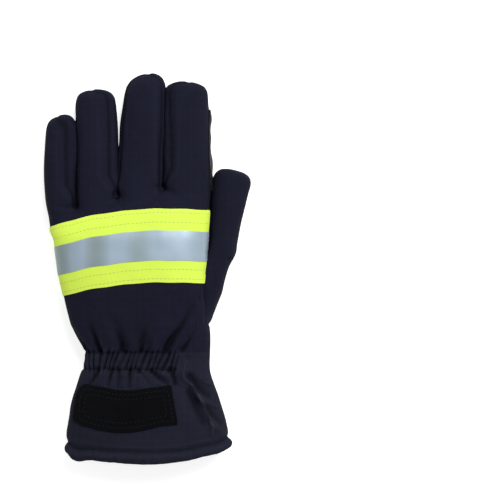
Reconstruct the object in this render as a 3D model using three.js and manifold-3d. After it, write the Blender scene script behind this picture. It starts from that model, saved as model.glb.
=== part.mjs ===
// A firefighter's left glove, lying palm down: padded cloth hand with four fingers and a thumb,
// black palm, hi-vis tape across the back, gathered wrist, flared cuff with a bound hem and a loop patch.
// Millimetres, +Z up, fingers along +Y, thumb towards +X, origin on the floor under the glove's centre.
import * as THREE from "three";
import { mergeVertices } from "three/addons/utils/BufferGeometryUtils.js";
import Module from "manifold-3d";

const wasm = await Module();
wasm.setup();

// Driving dimensions.
const gloveLength = 290; // mouth of the cuff to the middle fingertip
const palmWidth = 123; // across the knuckles
const handHeight = 43; // floor to the top of the back
const fingerHeight = 26; // a padded finger lying on the floor
const handWall = 3.2; // shell cloth, membrane and padding together
const cuffWall = 2.8;
const seamGap = 0.3; // between two sewn pieces
const palmSeamHeight = 5.6; // floor to the seam between palm and back
const wristBandWidth = 12; // the elasticated band
const wristBandDistance = 71.6; // mouth of the cuff to the band's lower seam
const hemWidth = 10.3;
const hemProud = 0.9; // how far the binding stands out from the cuff
const tapeWidth = 53.5;
const tapeThickness = 1.0;
const tapeDrop = 12.6; // how far the tape's outer end lies further down the hand
const stripeWidth = 21.6; // the silver stripe in the middle of the tape
const stripeThickness = 0.5;
const patchThickness = 1.6;
const reinforcementThickness = 0.9;
const ribDepth = 1.4; // of the gathers in the elasticated band
const ribCount = 16;
const foldHeight = 3.0; // of the highest fold in the cloth
const foldWidth = 3.6; // half width of an ordinary fold
const mouthBow = 10.7; // how far the sides of the mouth lie up the arm from its middle
const mouthSkew = 3.3; // more so on the thumb's side
const crotchSlope = 0.21; // the finger roots climb towards the index finger
const backSlope = 0.1; // the back rises towards the index finger
const rootSeam = 1.5; // from the hand's front to the seam across the finger backs
const floorPress = 2; // how deep the cloth is pressed flat where it rests
const thumbLap = 4; // how far the hand's edge overhangs the thumb
const gussetInset = 2.2; // the thumb gusset's seam lies this far in from the hand's edge

// How fine the cloth is cut.
const topSteps = 24;
const bottomSteps = 8;
const bandTopSteps = 60;
const innerTopSteps = 12;
const innerBottomSteps = 6;
const fingerTopSteps = 10;
const fingerBottomSteps = 5;

// The hand and cuff from the mouth to the knuckles. at is a share of gloveLength, left and right are
// shares of palmWidth, top is a share of handHeight, square is the exponent of the rounded section.
const sleeve = profile([
  { at: 0.0, left: -0.487, right: 0.512, top: 0.93, square: 2.3 },
  { at: 0.045, left: -0.488, right: 0.504, top: 0.93, square: 2.3 },
  { at: 0.09, left: -0.472, right: 0.488, top: 0.92, square: 2.3 },
  { at: 0.15, left: -0.459, right: 0.447, top: 0.9, square: 2.3 },
  { at: 0.2, left: -0.423, right: 0.407, top: 0.86, square: 2.4 },
  { at: 0.23, left: -0.401, right: 0.385, top: 0.83, square: 2.4 },
  { at: 0.26, left: -0.377, right: 0.378, top: 0.8, square: 2.4 },
  { at: 0.291, left: -0.376, right: 0.376, top: 0.82, square: 2.4 },
  { at: 0.32, left: -0.411, right: 0.374, top: 0.88, square: 2.4 },
  { at: 0.36, left: -0.457, right: 0.372, top: 0.94, square: 2.5 },
  { at: 0.42, left: -0.49, right: 0.366, top: 0.98, square: 2.6 },
  { at: 0.5, left: -0.534, right: 0.362, top: 1.0, square: 2.8 },
  { at: 0.58, left: -0.571, right: 0.37, top: 0.99, square: 2.9 },
  { at: 0.63, left: -0.594, right: 0.386, top: 0.93, square: 2.9 },
  { at: 0.667, left: -0.604, right: 0.39, top: 0.83, square: 2.8 },
  { at: 0.684, left: -0.607, right: 0.39, top: 0.72, square: 2.7 },
  { at: 0.695, left: -0.608, right: 0.388, top: 0.55, square: 2.6 },
]);

// The fingers. root and tip are shares of gloveLength along the glove, the x and wide columns are
// shares of palmWidth at root and tip, the tall columns are shares of fingerHeight, lean moves the
// very tip sideways and round is the length of its curve, both as shares of the tip's width, blunt is
// the exponent of that curve, pinch is its share of the width at the root, and lap is the share of
// thumbLap by which its side overhangs the thumb.
const fingers = [
  {
    name: "little", root: 0.612, pinch: 0.8, tip: 0.8917, rootX: -0.513, tipX: -0.515, rootWide: 0.186,
    tipWide: 0.17, rootTall: 1.13, tipTall: 0.8, lean: 0.1, round: 0.44, blunt: 2.3, lap: 0,
  },
  {
    name: "ring", root: 0.61, pinch: 1, tip: 0.9541, rootX: -0.3, tipX: -0.31, rootWide: 0.224,
    tipWide: 0.226, rootTall: 1.32, tipTall: 0.86, lean: 0.03, round: 0.3, blunt: 2.8, lap: 0,
  },
  {
    name: "middle", root: 0.62, pinch: 1, tip: 1.0, rootX: -0.042, tipX: -0.02, rootWide: 0.246,
    tipWide: 0.23, rootTall: 1.4, tipTall: 0.9, lean: 0.12, round: 0.55, blunt: 2.3, lap: 0,
  },
  {
    name: "index", root: 0.635, pinch: 0.9, tip: 0.9759, rootX: 0.242, tipX: 0.238, rootWide: 0.292,
    tipWide: 0.258, rootTall: 1.42, tipTall: 0.92, lean: -0.02, round: 0.3, blunt: 2.9, lap: 1,
  },
];

// The thumb, in the sleeve's columns. Its top is a share of fingerHeight.
const thumb = profile([
  { at: 0.33, left: 0.14, right: 0.34, top: 0.9, square: 2.4 },
  { at: 0.36, left: 0.18, right: 0.375, top: 1.02, square: 2.4 },
  { at: 0.4, left: 0.21, right: 0.415, top: 1.12, square: 2.4 },
  { at: 0.44, left: 0.24, right: 0.455, top: 1.18, square: 2.4 },
  { at: 0.48, left: 0.27, right: 0.474, top: 1.2, square: 2.4 },
  { at: 0.51, left: 0.3, right: 0.488, top: 1.18, square: 2.4 },
  { at: 0.545, left: 0.345, right: 0.528, top: 1.14, square: 2.4 },
  { at: 0.58, left: 0.385, right: 0.55, top: 1.1, square: 2.4 },
  { at: 0.62, left: 0.398, right: 0.569, top: 1.06, square: 2.4 },
  { at: 0.67, left: 0.408, right: 0.598, top: 1.0, square: 2.4 },
  { at: 0.715, left: 0.412, right: 0.623, top: 0.9, square: 2.4 },
]);
const thumbTip = { from: 0.715, at: 0.757, blunt: 2.3, lean: -0.12 };
const fingerSquare = 2.7; // the exponent of a finger's rounded section
const tipLift = 0.12; // the very tip lies this much higher, as a share of its height

// Folds and dents in the top cloth, each a line from one point to the other. at is a share of
// gloveLength, x a share of palmWidth, lift a share of foldHeight (a dent is below zero) and wide a
// share of foldWidth.
const folds = [
  { name: "cuff ridge", fromX: 0.22, fromAt: 0.235, toX: 0.33, toAt: 0.165, lift: 0.9, wide: 1.1 },
  { name: "cuff ridge end", fromX: 0.33, fromAt: 0.165, toX: 0.4, toAt: 0.105, lift: 0.9, wide: 1.1 },
  { name: "cuff side ridge", fromX: 0.3, fromAt: 0.228, toX: 0.378, toAt: 0.205, lift: 0.7, wide: 0.9 },
  { name: "cuff low ridge", fromX: 0.33, fromAt: 0.172, toX: 0.44, toAt: 0.148, lift: 0.7, wide: 1.0 },
  { name: "cuff corner ridge", fromX: 0.4, fromAt: 0.115, toX: 0.48, toAt: 0.08, lift: 0.6, wide: 1.0 },
  { name: "cuff dent", fromX: 0.25, fromAt: 0.2, toX: 0.36, toAt: 0.12, lift: -0.7, wide: 1.6 },
  { name: "cuff side dent", fromX: 0.31, fromAt: 0.21, toX: 0.41, toAt: 0.18, lift: -0.6, wide: 1.2 },
  { name: "wrist pucker 1", fromX: -0.28, fromAt: 0.3, toX: -0.34, toAt: 0.375, lift: -0.6, wide: 1.1 },
  { name: "wrist pucker 2", fromX: -0.147, fromAt: 0.3, toX: -0.18, toAt: 0.355, lift: -0.6, wide: 1.0 },
  { name: "wrist pucker 3", fromX: -0.027, fromAt: 0.3, toX: -0.003, toAt: 0.365, lift: -0.6, wide: 1.0 },
  { name: "wrist pucker 4", fromX: 0.147, fromAt: 0.3, toX: 0.26, toAt: 0.4, lift: -0.8, wide: 1.2 },
  { name: "wrist swell 1", fromX: -0.21, fromAt: 0.305, toX: -0.25, toAt: 0.37, lift: 0.4, wide: 1.4 },
  { name: "wrist swell 2", fromX: -0.09, fromAt: 0.305, toX: -0.1, toAt: 0.37, lift: 0.4, wide: 1.4 },
  { name: "wrist swell 3", fromX: 0.06, fromAt: 0.305, toX: 0.1, toAt: 0.37, lift: 0.4, wide: 1.6 },
  { name: "knuckle dent", fromX: 0.12, fromAt: 0.67, toX: 0.24, toAt: 0.645, lift: -0.3, wide: 1.2 },
];

// Outlines on the cuff and the index finger's side, as shares of palmWidth across and gloveLength along.
const loopPatchOutline = {
  topLeft: [-0.4, 0.2045], topMiddle: [-0.163, 0.1935], topRight: [0.154, 0.2065],
  bottomRight: [0.195, 0.106], bottomMiddle: [-0.163, 0.082], bottomLeft: [-0.437, 0.1165],
};
const reinforcement = { from: 0.7, step: 0.79, to: 0.905, low: 0.28, mid: 0.5, high: 0.85 };
const fourchetteFrom = 0.6; // behind the finger roots, as a share of gloveLength
const fourchetteTop = 0.8; // the upper seam's height, as a share of the lower finger's
const rootTaper = 0.13; // a finger widens to its full size along this share
const gussetFrom = 0.358;
const crotchAt = 0.568; // where the thumb leaves the hand
const gathers = { from: -0.376, to: 0.2, slant: 0.55, fade: 0.07 };
const bandLow = wristBandDistance / gloveLength;
const bandHigh = (wristBandDistance + wristBandWidth) / gloveLength;
const hemHigh = hemWidth / gloveLength;
const halfGap = seamGap / 2;
const gapShare = halfGap / gloveLength;
const knuckleAt = 0.695;
const tapeAt = { top: 0.6507, flatFrom: -0.03, rightTop: 0.38, rightBottom: 0.35, curve: 1.4 };

// Tools that cut the pieces reach this far past the glove.
const past = gloveLength;

const cloth = { color: 0x1e202e, roughness: 0.85, metalness: 0 };
const palmLeather = { color: 0x121317, roughness: 0.7, metalness: 0 };
const gatheredCloth = { color: 0x191b28, roughness: 0.88, metalness: 0 };
const binding = { color: 0x232536, roughness: 0.85, metalness: 0 };
const loopTape = { color: 0x0b0c0e, roughness: 0.95, metalness: 0 };
const hiVis = { color: 0xdfff4f, roughness: 0.6, metalness: 0 };
const reflective = { color: 0xa3b2c2, roughness: 0.35, metalness: 0.3 };

/** A function that reads a table of rows smoothly at any share along the glove. */
function profile(rows) {
  const columns = Object.keys(rows[0]);
  const times = rows.map((row) => row.at);
  const values = rows.flatMap((row) => columns.map((column) => row[column]));
  const curve = new THREE.CubicInterpolant(times, values, columns.length);
  return (at) => {
    const result = curve.evaluate(at);
    return Object.fromEntries(columns.map((column, index) => [column, result[index]]));
  };
}

function along(at) {
  return (at - 0.5) * gloveLength;
}

/** A rounded section lying in a plane across the glove, pressed below the floor by floorPress. */
function section(left, right, top, square, grow, topCount, bottomCount) {
  const low = -floorPress;
  const halfWide = (right - left) / 2 + grow;
  const halfTall = (top + grow - low) / 2;
  const points = [];
  const count = topCount + bottomCount;
  for (let step = 0; step < count; step += 1) {
    const angle = step < topCount
      ? (Math.PI * step) / topCount
      : Math.PI * (1 + (step - topCount) / bottomCount);
    const across = Math.sign(Math.cos(angle)) * Math.abs(Math.cos(angle)) ** (2 / square);
    const up = Math.sign(Math.sin(angle)) * Math.abs(Math.sin(angle)) ** (2 / square);
    points.push({ across, up, x: (left + right) / 2 + across * halfWide, z: low + halfTall * (1 + up) });
  }
  return points;
}

/** A closed mesh through rings of equally many points, with flat fans at both ends. */
function loft(rings) {
  const count = rings[0].length;
  const positions = [];
  const triangles = [];
  for (const ring of rings) {
    for (const point of ring) {
      positions.push(point.x, point.y, point.z);
    }
  }
  for (let row = 0; row < rings.length - 1; row += 1) {
    for (let step = 0; step < count; step += 1) {
      const next = (step + 1) % count;
      const a = row * count + step;
      const b = row * count + next;
      const c = a + count;
      const d = b + count;
      triangles.push(a, d, b, a, c, d);
    }
  }
  for (const [row, flip] of [[0, false], [rings.length - 1, true]]) {
    const centre = new THREE.Vector3();
    rings[row].forEach((point) => centre.add(point));
    centre.divideScalar(count);
    const hub = positions.length / 3;
    positions.push(centre.x, centre.y, centre.z);
    for (let step = 0; step < count; step += 1) {
      const a = row * count + step;
      const b = row * count + ((step + 1) % count);
      triangles.push(hub, flip ? b : a, flip ? a : b);
    }
  }
  const geometry = new THREE.BufferGeometry();
  geometry.setAttribute("position", new THREE.Float32BufferAttribute(positions, 3));
  geometry.setIndex(triangles);
  return solid(geometry);
}

/** A closed geometry as a solid that can be joined and cut. */
function solid(geometry) {
  const plain = geometry.clone();
  plain.deleteAttribute("normal");
  plain.deleteAttribute("uv");
  const merged = mergeVertices(plain);
  return new wasm.Manifold(new wasm.Mesh({
    numProp: 3,
    vertProperties: new Float32Array(merged.attributes.position.array),
    triVerts: new Uint32Array(merged.index.array),
  }));
}

function piece(name, shape, look) {
  const cut = shape.getMesh();
  const geometry = new THREE.BufferGeometry();
  geometry.setAttribute("position", new THREE.BufferAttribute(new Float32Array(cut.vertProperties), 3));
  geometry.setIndex(new THREE.BufferAttribute(new Uint32Array(cut.triVerts), 1));
  geometry.computeVertexNormals();
  const mesh = new THREE.Mesh(geometry, new THREE.MeshStandardMaterial(look));
  mesh.name = name;
  return mesh;
}

/** A block between two corners. */
function block(low, high) {
  const geometry = new THREE.BoxGeometry(high[0] - low[0], high[1] - low[1], high[2] - low[2]);
  geometry.translate((low[0] + high[0]) / 2, (low[1] + high[1]) / 2, (low[2] + high[2]) / 2);
  return solid(geometry);
}

/** Everything above a height. */
function above(height) {
  return block([-past, -past, height], [past, past, past]);
}

/** An upright prism over an outline in the floor's plane. */
function prism(outline) {
  const settings = { depth: 2 * past, bevelEnabled: false, curveSegments: 4 };
  const geometry = new THREE.ExtrudeGeometry(outline, settings);
  geometry.translate(0, 0, -past);
  return solid(geometry);
}

/** A prism across the glove over an outline of distances along it and heights. */
function sidePrism(outline, from, to) {
  const geometry = new THREE.ExtrudeGeometry(outline, { depth: to - from, bevelEnabled: false });
  const turn = new THREE.Matrix4().makeBasis(
    new THREE.Vector3(0, 1, 0), new THREE.Vector3(0, 0, 1), new THREE.Vector3(1, 0, 0),
  );
  geometry.applyMatrix4(turn);
  geometry.translate(from, 0, 0);
  return solid(geometry);
}

/** The height that a fold or dent adds at a point of the top cloth. */
function foldLift(x, at) {
  const point = new THREE.Vector2(x, along(at));
  let lift = 0;
  for (const fold of folds) {
    const start = new THREE.Vector2(fold.fromX * palmWidth, along(fold.fromAt));
    const end = new THREE.Vector2(fold.toX * palmWidth, along(fold.toAt));
    const run = end.clone().sub(start);
    const reach = THREE.MathUtils.clamp(point.clone().sub(start).dot(run) / run.lengthSq(), 0, 1);
    const distance = point.distanceTo(start.addScaledVector(run, reach)) / (fold.wide * foldWidth);
    lift += fold.lift * foldHeight * Math.exp(-distance * distance);
  }
  return lift;
}

/** The height that the elastic's gathers add, full in the band and fading out beside it. */
function gatherLift(x, at) {
  const from = gathers.from * palmWidth;
  const width = (gathers.to - gathers.from) * palmWidth;
  const middle = wristBandDistance + wristBandWidth / 2;
  const beyond = Math.max(Math.abs(along(at) + gloveLength / 2 - middle) - wristBandWidth / 2, 0);
  const strength = Math.exp(-beyond / (gathers.fade * palmWidth))
    * THREE.MathUtils.smoothstep(x, from, from + width / ribCount)
    * (1 - THREE.MathUtils.smoothstep(x, from + width * (1 - 1 / ribCount), from + width));
  const slanted = x - gathers.slant * (along(at) + gloveLength / 2 - middle);
  return ribDepth * strength * Math.cos((2 * Math.PI * ribCount * (slanted - from)) / width) / 2;
}

/** A share that is 0 at the wrist and 1 at the mouth, for the bow of the cuff's rows. */
function mouthShare(at) {
  return 1 - THREE.MathUtils.clamp(at * gloveLength / wristBandDistance, 0, 1);
}

/** One ring of the hand or cuff, grown outwards (or inwards, below zero). */
function sleeveRing(at, grow, outside, topCount, bottomCount) {
  const row = sleeve(at);
  const top = row.top * handHeight;
  const points = section(
    row.left * palmWidth, row.right * palmWidth, top, row.square, grow, topCount, bottomCount,
  );
  const knuckle = THREE.MathUtils.smoothstep(at, crotchAt, fourchetteFrom + 0.06);
  const lap = thumbLap * THREE.MathUtils.smoothstep(at, gussetFrom, crotchAt);
  return points.map((point) => {
    const bow = mouthShare(at) * (mouthBow + (point.across > 0 ? mouthSkew : 0)) * point.across ** 2;
    const y = along(at) + bow + knuckle * crotchSlope * point.x;
    const rise = 1 + backSlope * point.across * Math.max(point.up, 0);
    const lift = outside * Math.max(point.up, 0) * (foldLift(point.x, at) + gatherLift(point.x, at));
    const overhang = (lap * point.up * Math.max(point.across, 0) ** 2) / 2;
    return new THREE.Vector3(point.x + overhang, y, point.z * rise + lift);
  });
}

/** A length of sleeve with rings at the given shares. */
function sleeveLoft(shares, grow, outside, topCount, bottomCount) {
  return loft(shares.map((at) => sleeveRing(at, grow(at), outside, topCount, bottomCount)));
}

/** Evenly spaced shares from one place along the glove to another. */
function spread(from, to, steps) {
  return Array.from({ length: steps + 1 }, (_, index) => from + ((to - from) * index) / steps);
}

/** Half widths and distances for a rounded end, as shares of the full half width and of the curve. */
function roundEnd(steps, blunt) {
  return Array.from({ length: steps }, (_, index) => {
    const turn = (Math.PI / 2) * ((index + 1) / (steps + 0.35));
    return { reach: Math.sin(turn) ** (2 / blunt), wide: Math.cos(turn) ** (2 / blunt) };
  });
}

/** A finger grown outwards, or inwards for its hollow, which has fewer faces. */
function fingerLoft(finger, grow, outside) {
  const topCount = outside ? fingerTopSteps : fingerTopSteps - 2;
  const bottomCount = outside ? fingerBottomSteps : fingerBottomSteps - 1;
  const start = along(finger.root);
  const length = along(finger.tip) + grow - start;
  const curve = finger.round * finger.tipWide * palmWidth;
  const rowAt = (reach, wide) => {
    const taper = THREE.MathUtils.lerp(finger.pinch, 1, THREE.MathUtils.smoothstep(reach, 0, rootTaper));
    const lean = finger.lean * finger.tipWide * palmWidth * (1 - wide);
    const middle = THREE.MathUtils.lerp(finger.rootX, finger.tipX, reach) * palmWidth + lean;
    const full = THREE.MathUtils.lerp(finger.rootWide, finger.tipWide, reach) * palmWidth;
    const half = (full / 2 + grow) * wide * taper;
    const top = THREE.MathUtils.lerp(finger.rootTall, finger.tipTall, reach) * fingerHeight + grow;
    const points = section(
      middle - half, middle + half, (top * (1 + wide)) / 2, fingerSquare, 0, topCount, bottomCount,
    );
    const lift = (1 - wide) * tipLift * top;
    const lap = (thumbLap * finger.lap * (1 - THREE.MathUtils.smoothstep(reach, 0.15, 0.6))) / 2;
    return points.map((point) => {
      const overhang = lap * point.up * Math.max(point.across, 0) ** 2;
      return new THREE.Vector3(point.x + overhang, start + reach * length, point.z + lift);
    });
  };
  const straight = outside ? [0, rootTaper / 2, rootTaper, 0.4, 0.7, 1] : [0, rootTaper, 0.6, 1];
  const rings = straight.map((reach) => rowAt((reach * (length - curve)) / length, 1));
  for (const end of roundEnd(outside ? 4 : 2, finger.blunt)) {
    rings.push(rowAt((length - curve + curve * end.reach) / length, end.wide));
  }
  return loft(rings);
}

/** The thumb's outer shape, or grown inwards its hollow. */
function thumbLoft(grow, outside) {
  const topCount = outside ? fingerTopSteps + 2 : fingerTopSteps - 2;
  const bottomCount = outside ? fingerBottomSteps : fingerBottomSteps - 1;
  const curve = along(thumbTip.at) - along(thumbTip.from) + grow;
  const ring = (at, y, wide) => {
    const row = thumb(at);
    const middle = ((row.left + row.right) / 2) * palmWidth;
    const half = ((row.right - row.left) / 2) * palmWidth + grow;
    const lean = thumbTip.lean * half * (1 - wide);
    const top = row.top * fingerHeight + grow;
    const points = section(
      middle + lean - half * wide, middle + lean + half * wide, (top * (1 + wide)) / 2, row.square,
      0, topCount, bottomCount,
    );
    const lap = (thumbLap * THREE.MathUtils.smoothstep(at, gussetFrom, crotchAt)) / 2;
    return points.map((point) => {
      const overhang = lap * point.up * Math.max(-point.across, 0) ** 2;
      return new THREE.Vector3(point.x + overhang, y, point.z + (1 - wide) * tipLift * top);
    });
  };
  const shares = outside ? [0.33, 0.36, 0.4, 0.44, 0.48, 0.51, 0.545, 0.58, 0.62, 0.67, thumbTip.from]
    : [0.33, 0.4, 0.48, 0.545, 0.62, thumbTip.from];
  const rings = shares.map((at) => ring(at, along(at), 1));
  for (const end of roundEnd(outside ? 4 : 2, thumbTip.blunt)) {
    rings.push(ring(thumbTip.from, along(thumbTip.from) + curve * end.reach, end.wide));
  }
  return loft(rings);
}

/** The hand's outer shape without the thumb, grown by the same length all round. */
function handShape(grow) {
  const shares = [
    bandHigh + gapShare, 0.302, 0.318, 0.335, 0.36, 0.39, 0.43, 0.48, 0.53, 0.58, 0.63, 0.655, 0.67,
    0.684, knuckleAt,
  ];
  return sleeveLoft(shares, () => grow, 1, topSteps, bottomSteps);
}

/** The whole hand in one padded shell, thumb and fingers with it. */
function handShell() {
  let outer = handShape(0).add(thumbLoft(0, true));
  const palmHollow = sleeveLoft(
    [bandLow, 0.29, 0.32, 0.36, 0.42, 0.5, 0.58, 0.64, knuckleAt - handWall / gloveLength],
    () => -handWall, 0, innerTopSteps, innerBottomSteps,
  );
  let inner = palmHollow.add(thumbLoft(-handWall, false));
  for (const finger of fingers) {
    outer = outer.add(fingerLoft(finger, 0, true));
    inner = inner.add(fingerLoft(finger, -handWall, false));
  }
  return outer.intersect(above(0)).subtract(inner.intersect(above(handWall)));
}

/** Everything on the thumb's side of its gusset's seam and, past the crotch, of the leaning slot. */
function gussetRegion(shift) {
  const seamX = (at) => {
    const free = THREE.MathUtils.smoothstep(at, 0.54, 0.585);
    const handRight = Math.max(sleeve(at).right, at > 0.64 ? fingers[3].rootX + fingers[3].rootWide / 2 : 0);
    const between = (handRight + thumb(at).left) / 2;
    return THREE.MathUtils.lerp(sleeve(at).right * palmWidth - gussetInset, between * palmWidth, free);
  };
  const shares = [gussetFrom, 0.4, 0.45, 0.5, 0.54, crotchAt, 0.6, 0.65, 0.7, 0.78];
  return loft(shares.map((at, index) => {
    const x = seamX(at) + shift;
    const y = along(at) + (index === 0 ? shift : 0);
    const lap = (thumbLap * THREE.MathUtils.smoothstep(at, gussetFrom, crotchAt)) / 2;
    const top = thumb(at).top * fingerHeight;
    return [
      [x - lap, -floorPress], [past, -floorPress], [past, past], [x + lap, past], [x + lap, top],
    ].map(([across, up]) => new THREE.Vector3(across, y, up));
  }));
}

/** The side walls between two fingers, from one tip's middle round the crotch to the other's. */
function fourchetteRegion(left, right, shift) {
  const from = along(fourchetteFrom);
  const root = along(left.root);
  const to = along(1) + fingerHeight;
  const slope = ((left.tipTall - left.rootTall) * fingerHeight) / (along(left.tip) - root);
  const heightAt = (y) => fourchetteTop * (left.rootTall * fingerHeight + slope * (y - root)) - shift;
  const side = new THREE.Shape([
    new THREE.Vector2(from, palmSeamHeight + shift),
    new THREE.Vector2(to, palmSeamHeight + shift),
    new THREE.Vector2(to, heightAt(to)),
    new THREE.Vector2(from, heightAt(from)),
  ]);
  return sidePrism(side, left.tipX * palmWidth + shift, right.tipX * palmWidth - shift);
}

/** Everything past the seam across the finger roots, which lies just beyond the hand's front. */
function fingerRegion(shift) {
  const seam = (x) => new THREE.Vector2(x, along(knuckleAt) + rootSeam + crotchSlope * x + shift);
  const [farRight, farLeft] = [new THREE.Vector2(palmWidth, past), new THREE.Vector2(-palmWidth, past)];
  return prism(new THREE.Shape([seam(-palmWidth), seam(palmWidth), farRight, farLeft]));
}

/** The strip of the floor's plan that one finger takes, halfway to its neighbours. */
function fingerStrip(finger) {
  const index = fingers.indexOf(finger);
  const edge = (one, side, row) => one[`${row}X`] + (side * one[`${row}Wide`]) / 2;
  const between = (left, right, row) => ((edge(left, 1, row) + edge(right, -1, row)) / 2) * palmWidth;
  const leftX = (row) => (index > 0 ? between(fingers[index - 1], finger, row) : -past);
  const rightX = (row) => (index < fingers.length - 1 ? between(finger, fingers[index + 1], row) : past);
  const [root, tip] = [along(finger.root), along(finger.tip)];
  return prism(new THREE.Shape([
    new THREE.Vector2(leftX("root"), root),
    new THREE.Vector2(rightX("root"), root),
    new THREE.Vector2(rightX("tip"), tip),
    new THREE.Vector2(rightX("tip"), past),
    new THREE.Vector2(leftX("tip"), past),
    new THREE.Vector2(leftX("tip"), tip),
  ]));
}

/** The plan of a band across the back, between two distances from the tape's top edge. */
function tapeBand(nearTop, nearBottom) {
  const curveY = (x) => {
    const flatX = tapeAt.flatFrom * palmWidth;
    const leftX = sleeve(0.6).left * palmWidth;
    const reach = THREE.MathUtils.clamp((flatX - x) / (flatX - leftX), 0, 1.2);
    return tapeDrop * reach ** tapeAt.curve;
  };
  const rightX = (fromTop) => palmWidth
    * THREE.MathUtils.lerp(tapeAt.rightTop, tapeAt.rightBottom, fromTop / tapeWidth);
  const left = -palmWidth * 0.75;
  const steps = 9;
  const edge = (fromTop) => spread(left, rightX(fromTop), steps)
    .map((x) => new THREE.Vector2(x, along(tapeAt.top) - fromTop - curveY(x)));
  return prism(new THREE.Shape([...edge(nearBottom), ...edge(nearTop).reverse()]));
}

/** A thin layer over the hand's back and round its outer side, from one distance above it to another. */
function handLayer(from, thickness) {
  const outerSide = block([-past, -past, palmSeamHeight + seamGap], [0, past, past]);
  let layer = handShape(from + thickness).subtract(handShape(from)).subtract(thumbLoft(seamGap, true));
  for (const finger of fingers) {
    layer = layer.subtract(fingerLoft(finger, seamGap, true));
  }
  return layer.intersect(outerSide.add(above(fingerHeight)));
}

/** The cuff's outer shape, grown by the same length all round. */
function cuffShape(grow) {
  const shares = [hemHigh + gapShare, ...spread(0.06, 0.235, 8), bandLow - gapShare];
  return sleeveLoft(shares, () => grow, 1, topSteps, bottomSteps);
}

/** The hollow of the cuff and the wrist, open at both ends. */
function cuffHollow(wall) {
  const shares = [-hemHigh, ...spread(0, bandHigh, 6), bandHigh + hemHigh];
  return sleeveLoft(shares, () => -wall, 0, innerTopSteps, innerBottomSteps).intersect(above(wall));
}

function buildHem() {
  const swell = [-0.9, 0.5, 0.95, 1, 0.6, 0.1];
  const shares = spread(0, hemHigh - gapShare, swell.length - 1);
  const rings = shares.map((at, index) => sleeveRing(at, hemProud * swell[index], 1, topSteps, bottomSteps));
  return loft(rings).intersect(above(0)).subtract(cuffHollow(cuffWall + hemProud));
}

function buildWristBand() {
  const shares = spread(bandLow + gapShare, bandHigh - gapShare, 2);
  const outer = sleeveLoft(shares, () => 0, 1, bandTopSteps, bottomSteps);
  return outer.intersect(above(0)).subtract(cuffHollow(cuffWall));
}

function buildLoopPatch() {
  const place = ([x, at]) => new THREE.Vector2(x * palmWidth, along(at));
  const corner = Object.fromEntries(
    Object.entries(loopPatchOutline).map(([name, point]) => [name, place(point)]),
  );
  const outline = new THREE.Shape();
  outline.moveTo(corner.bottomLeft.x, corner.bottomLeft.y);
  outline.splineThru([corner.bottomMiddle, corner.bottomRight]);
  outline.lineTo(corner.topRight.x, corner.topRight.y);
  outline.splineThru([corner.topMiddle, corner.topLeft]);
  outline.closePath();
  const layer = cuffShape(seamGap + patchThickness).subtract(cuffShape(seamGap));
  return layer.intersect(prism(outline)).intersect(above(handHeight / 2));
}

/** The black patch down the index finger's outer side. */
function buildReinforcement(index) {
  const height = (share) => share * fingerHeight;
  const side = new THREE.Shape([
    new THREE.Vector2(along(reinforcement.from), height(reinforcement.low)),
    new THREE.Vector2(along(reinforcement.to), height(reinforcement.low)),
    new THREE.Vector2(along(reinforcement.to), height(reinforcement.mid)),
    new THREE.Vector2(along(reinforcement.step), height(reinforcement.high)),
    new THREE.Vector2(along(reinforcement.from), height(reinforcement.high)),
  ]);
  return fingerLoft(index, seamGap + reinforcementThickness, true)
    .subtract(fingerLoft(index, seamGap, true))
    .subtract(handShape(seamGap))
    .intersect(sidePrism(side, index.tipX * palmWidth, past));
}

function build() {
  const group = new THREE.Group();
  const shell = handShell();
  const upper = shell.intersect(above(palmSeamHeight + halfGap));
  const [little, ring, middle, index] = fingers;
  const pairs = [
    ["little_ring", little, ring],
    ["ring_middle", ring, middle],
    ["middle_index", middle, index],
  ];
  let back = upper.subtract(gussetRegion(-halfGap));
  for (const [, left, right] of pairs) {
    back = back.subtract(fourchetteRegion(left, right, -halfGap));
  }
  const fingerBacks = back.intersect(fingerRegion(halfGap));
  for (const finger of fingers) {
    group.add(piece(`${finger.name}_back`, fingerBacks.intersect(fingerStrip(finger)), cloth));
  }
  group.add(piece("back_panel", back.subtract(fingerRegion(-halfGap)), cloth));
  group.add(piece("palm_panel", shell.subtract(above(palmSeamHeight - halfGap)), palmLeather));
  group.add(piece("thumb", upper.intersect(gussetRegion(halfGap)), cloth));
  for (const [name, left, right] of pairs) {
    const strip = upper.subtract(gussetRegion(-halfGap)).intersect(fourchetteRegion(left, right, halfGap));
    group.add(piece(`${name}_fourchette`, strip, cloth));
  }
  group.add(piece("index_patch", buildReinforcement(index), palmLeather));
  const stripeStart = (tapeWidth - stripeWidth) / 2;
  group.add(piece("hi_vis_tape", handLayer(seamGap, tapeThickness).intersect(tapeBand(0, tapeWidth)), hiVis));
  const stripe = handLayer(2 * seamGap + tapeThickness, stripeThickness)
    .intersect(tapeBand(stripeStart, stripeStart + stripeWidth));
  group.add(piece("silver_stripe", stripe, reflective));
  group.add(piece("wrist_band", buildWristBand(), gatheredCloth));
  group.add(piece("cuff", cuffShape(0).intersect(above(0)).subtract(cuffHollow(cuffWall)), cloth));
  group.add(piece("loop_patch", buildLoopPatch(), loopTape));
  group.add(piece("cuff_hem", buildHem(), binding));
  const centre = new THREE.Box3().setFromObject(group).getCenter(new THREE.Vector3());
  group.position.set(-centre.x, -centre.y, 0);
  return group;
}

const group = build();
export default group;
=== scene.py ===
"""A firefighter's left glove lying palm down: padded navy cloth, black palm, hi-vis tape and a flared cuff.

Metres, +Z up, fingers along +Y, thumb towards +X. The cloth is one smooth skin over the solid pieces. It is
shaped with the folds, gathers and seams of the real glove, and then parted along the seams into the pieces
that were sewn.
"""
import logging
import math
from collections.abc import Callable, Iterable, Sequence
from dataclasses import dataclass, field
from enum import Enum

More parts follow.
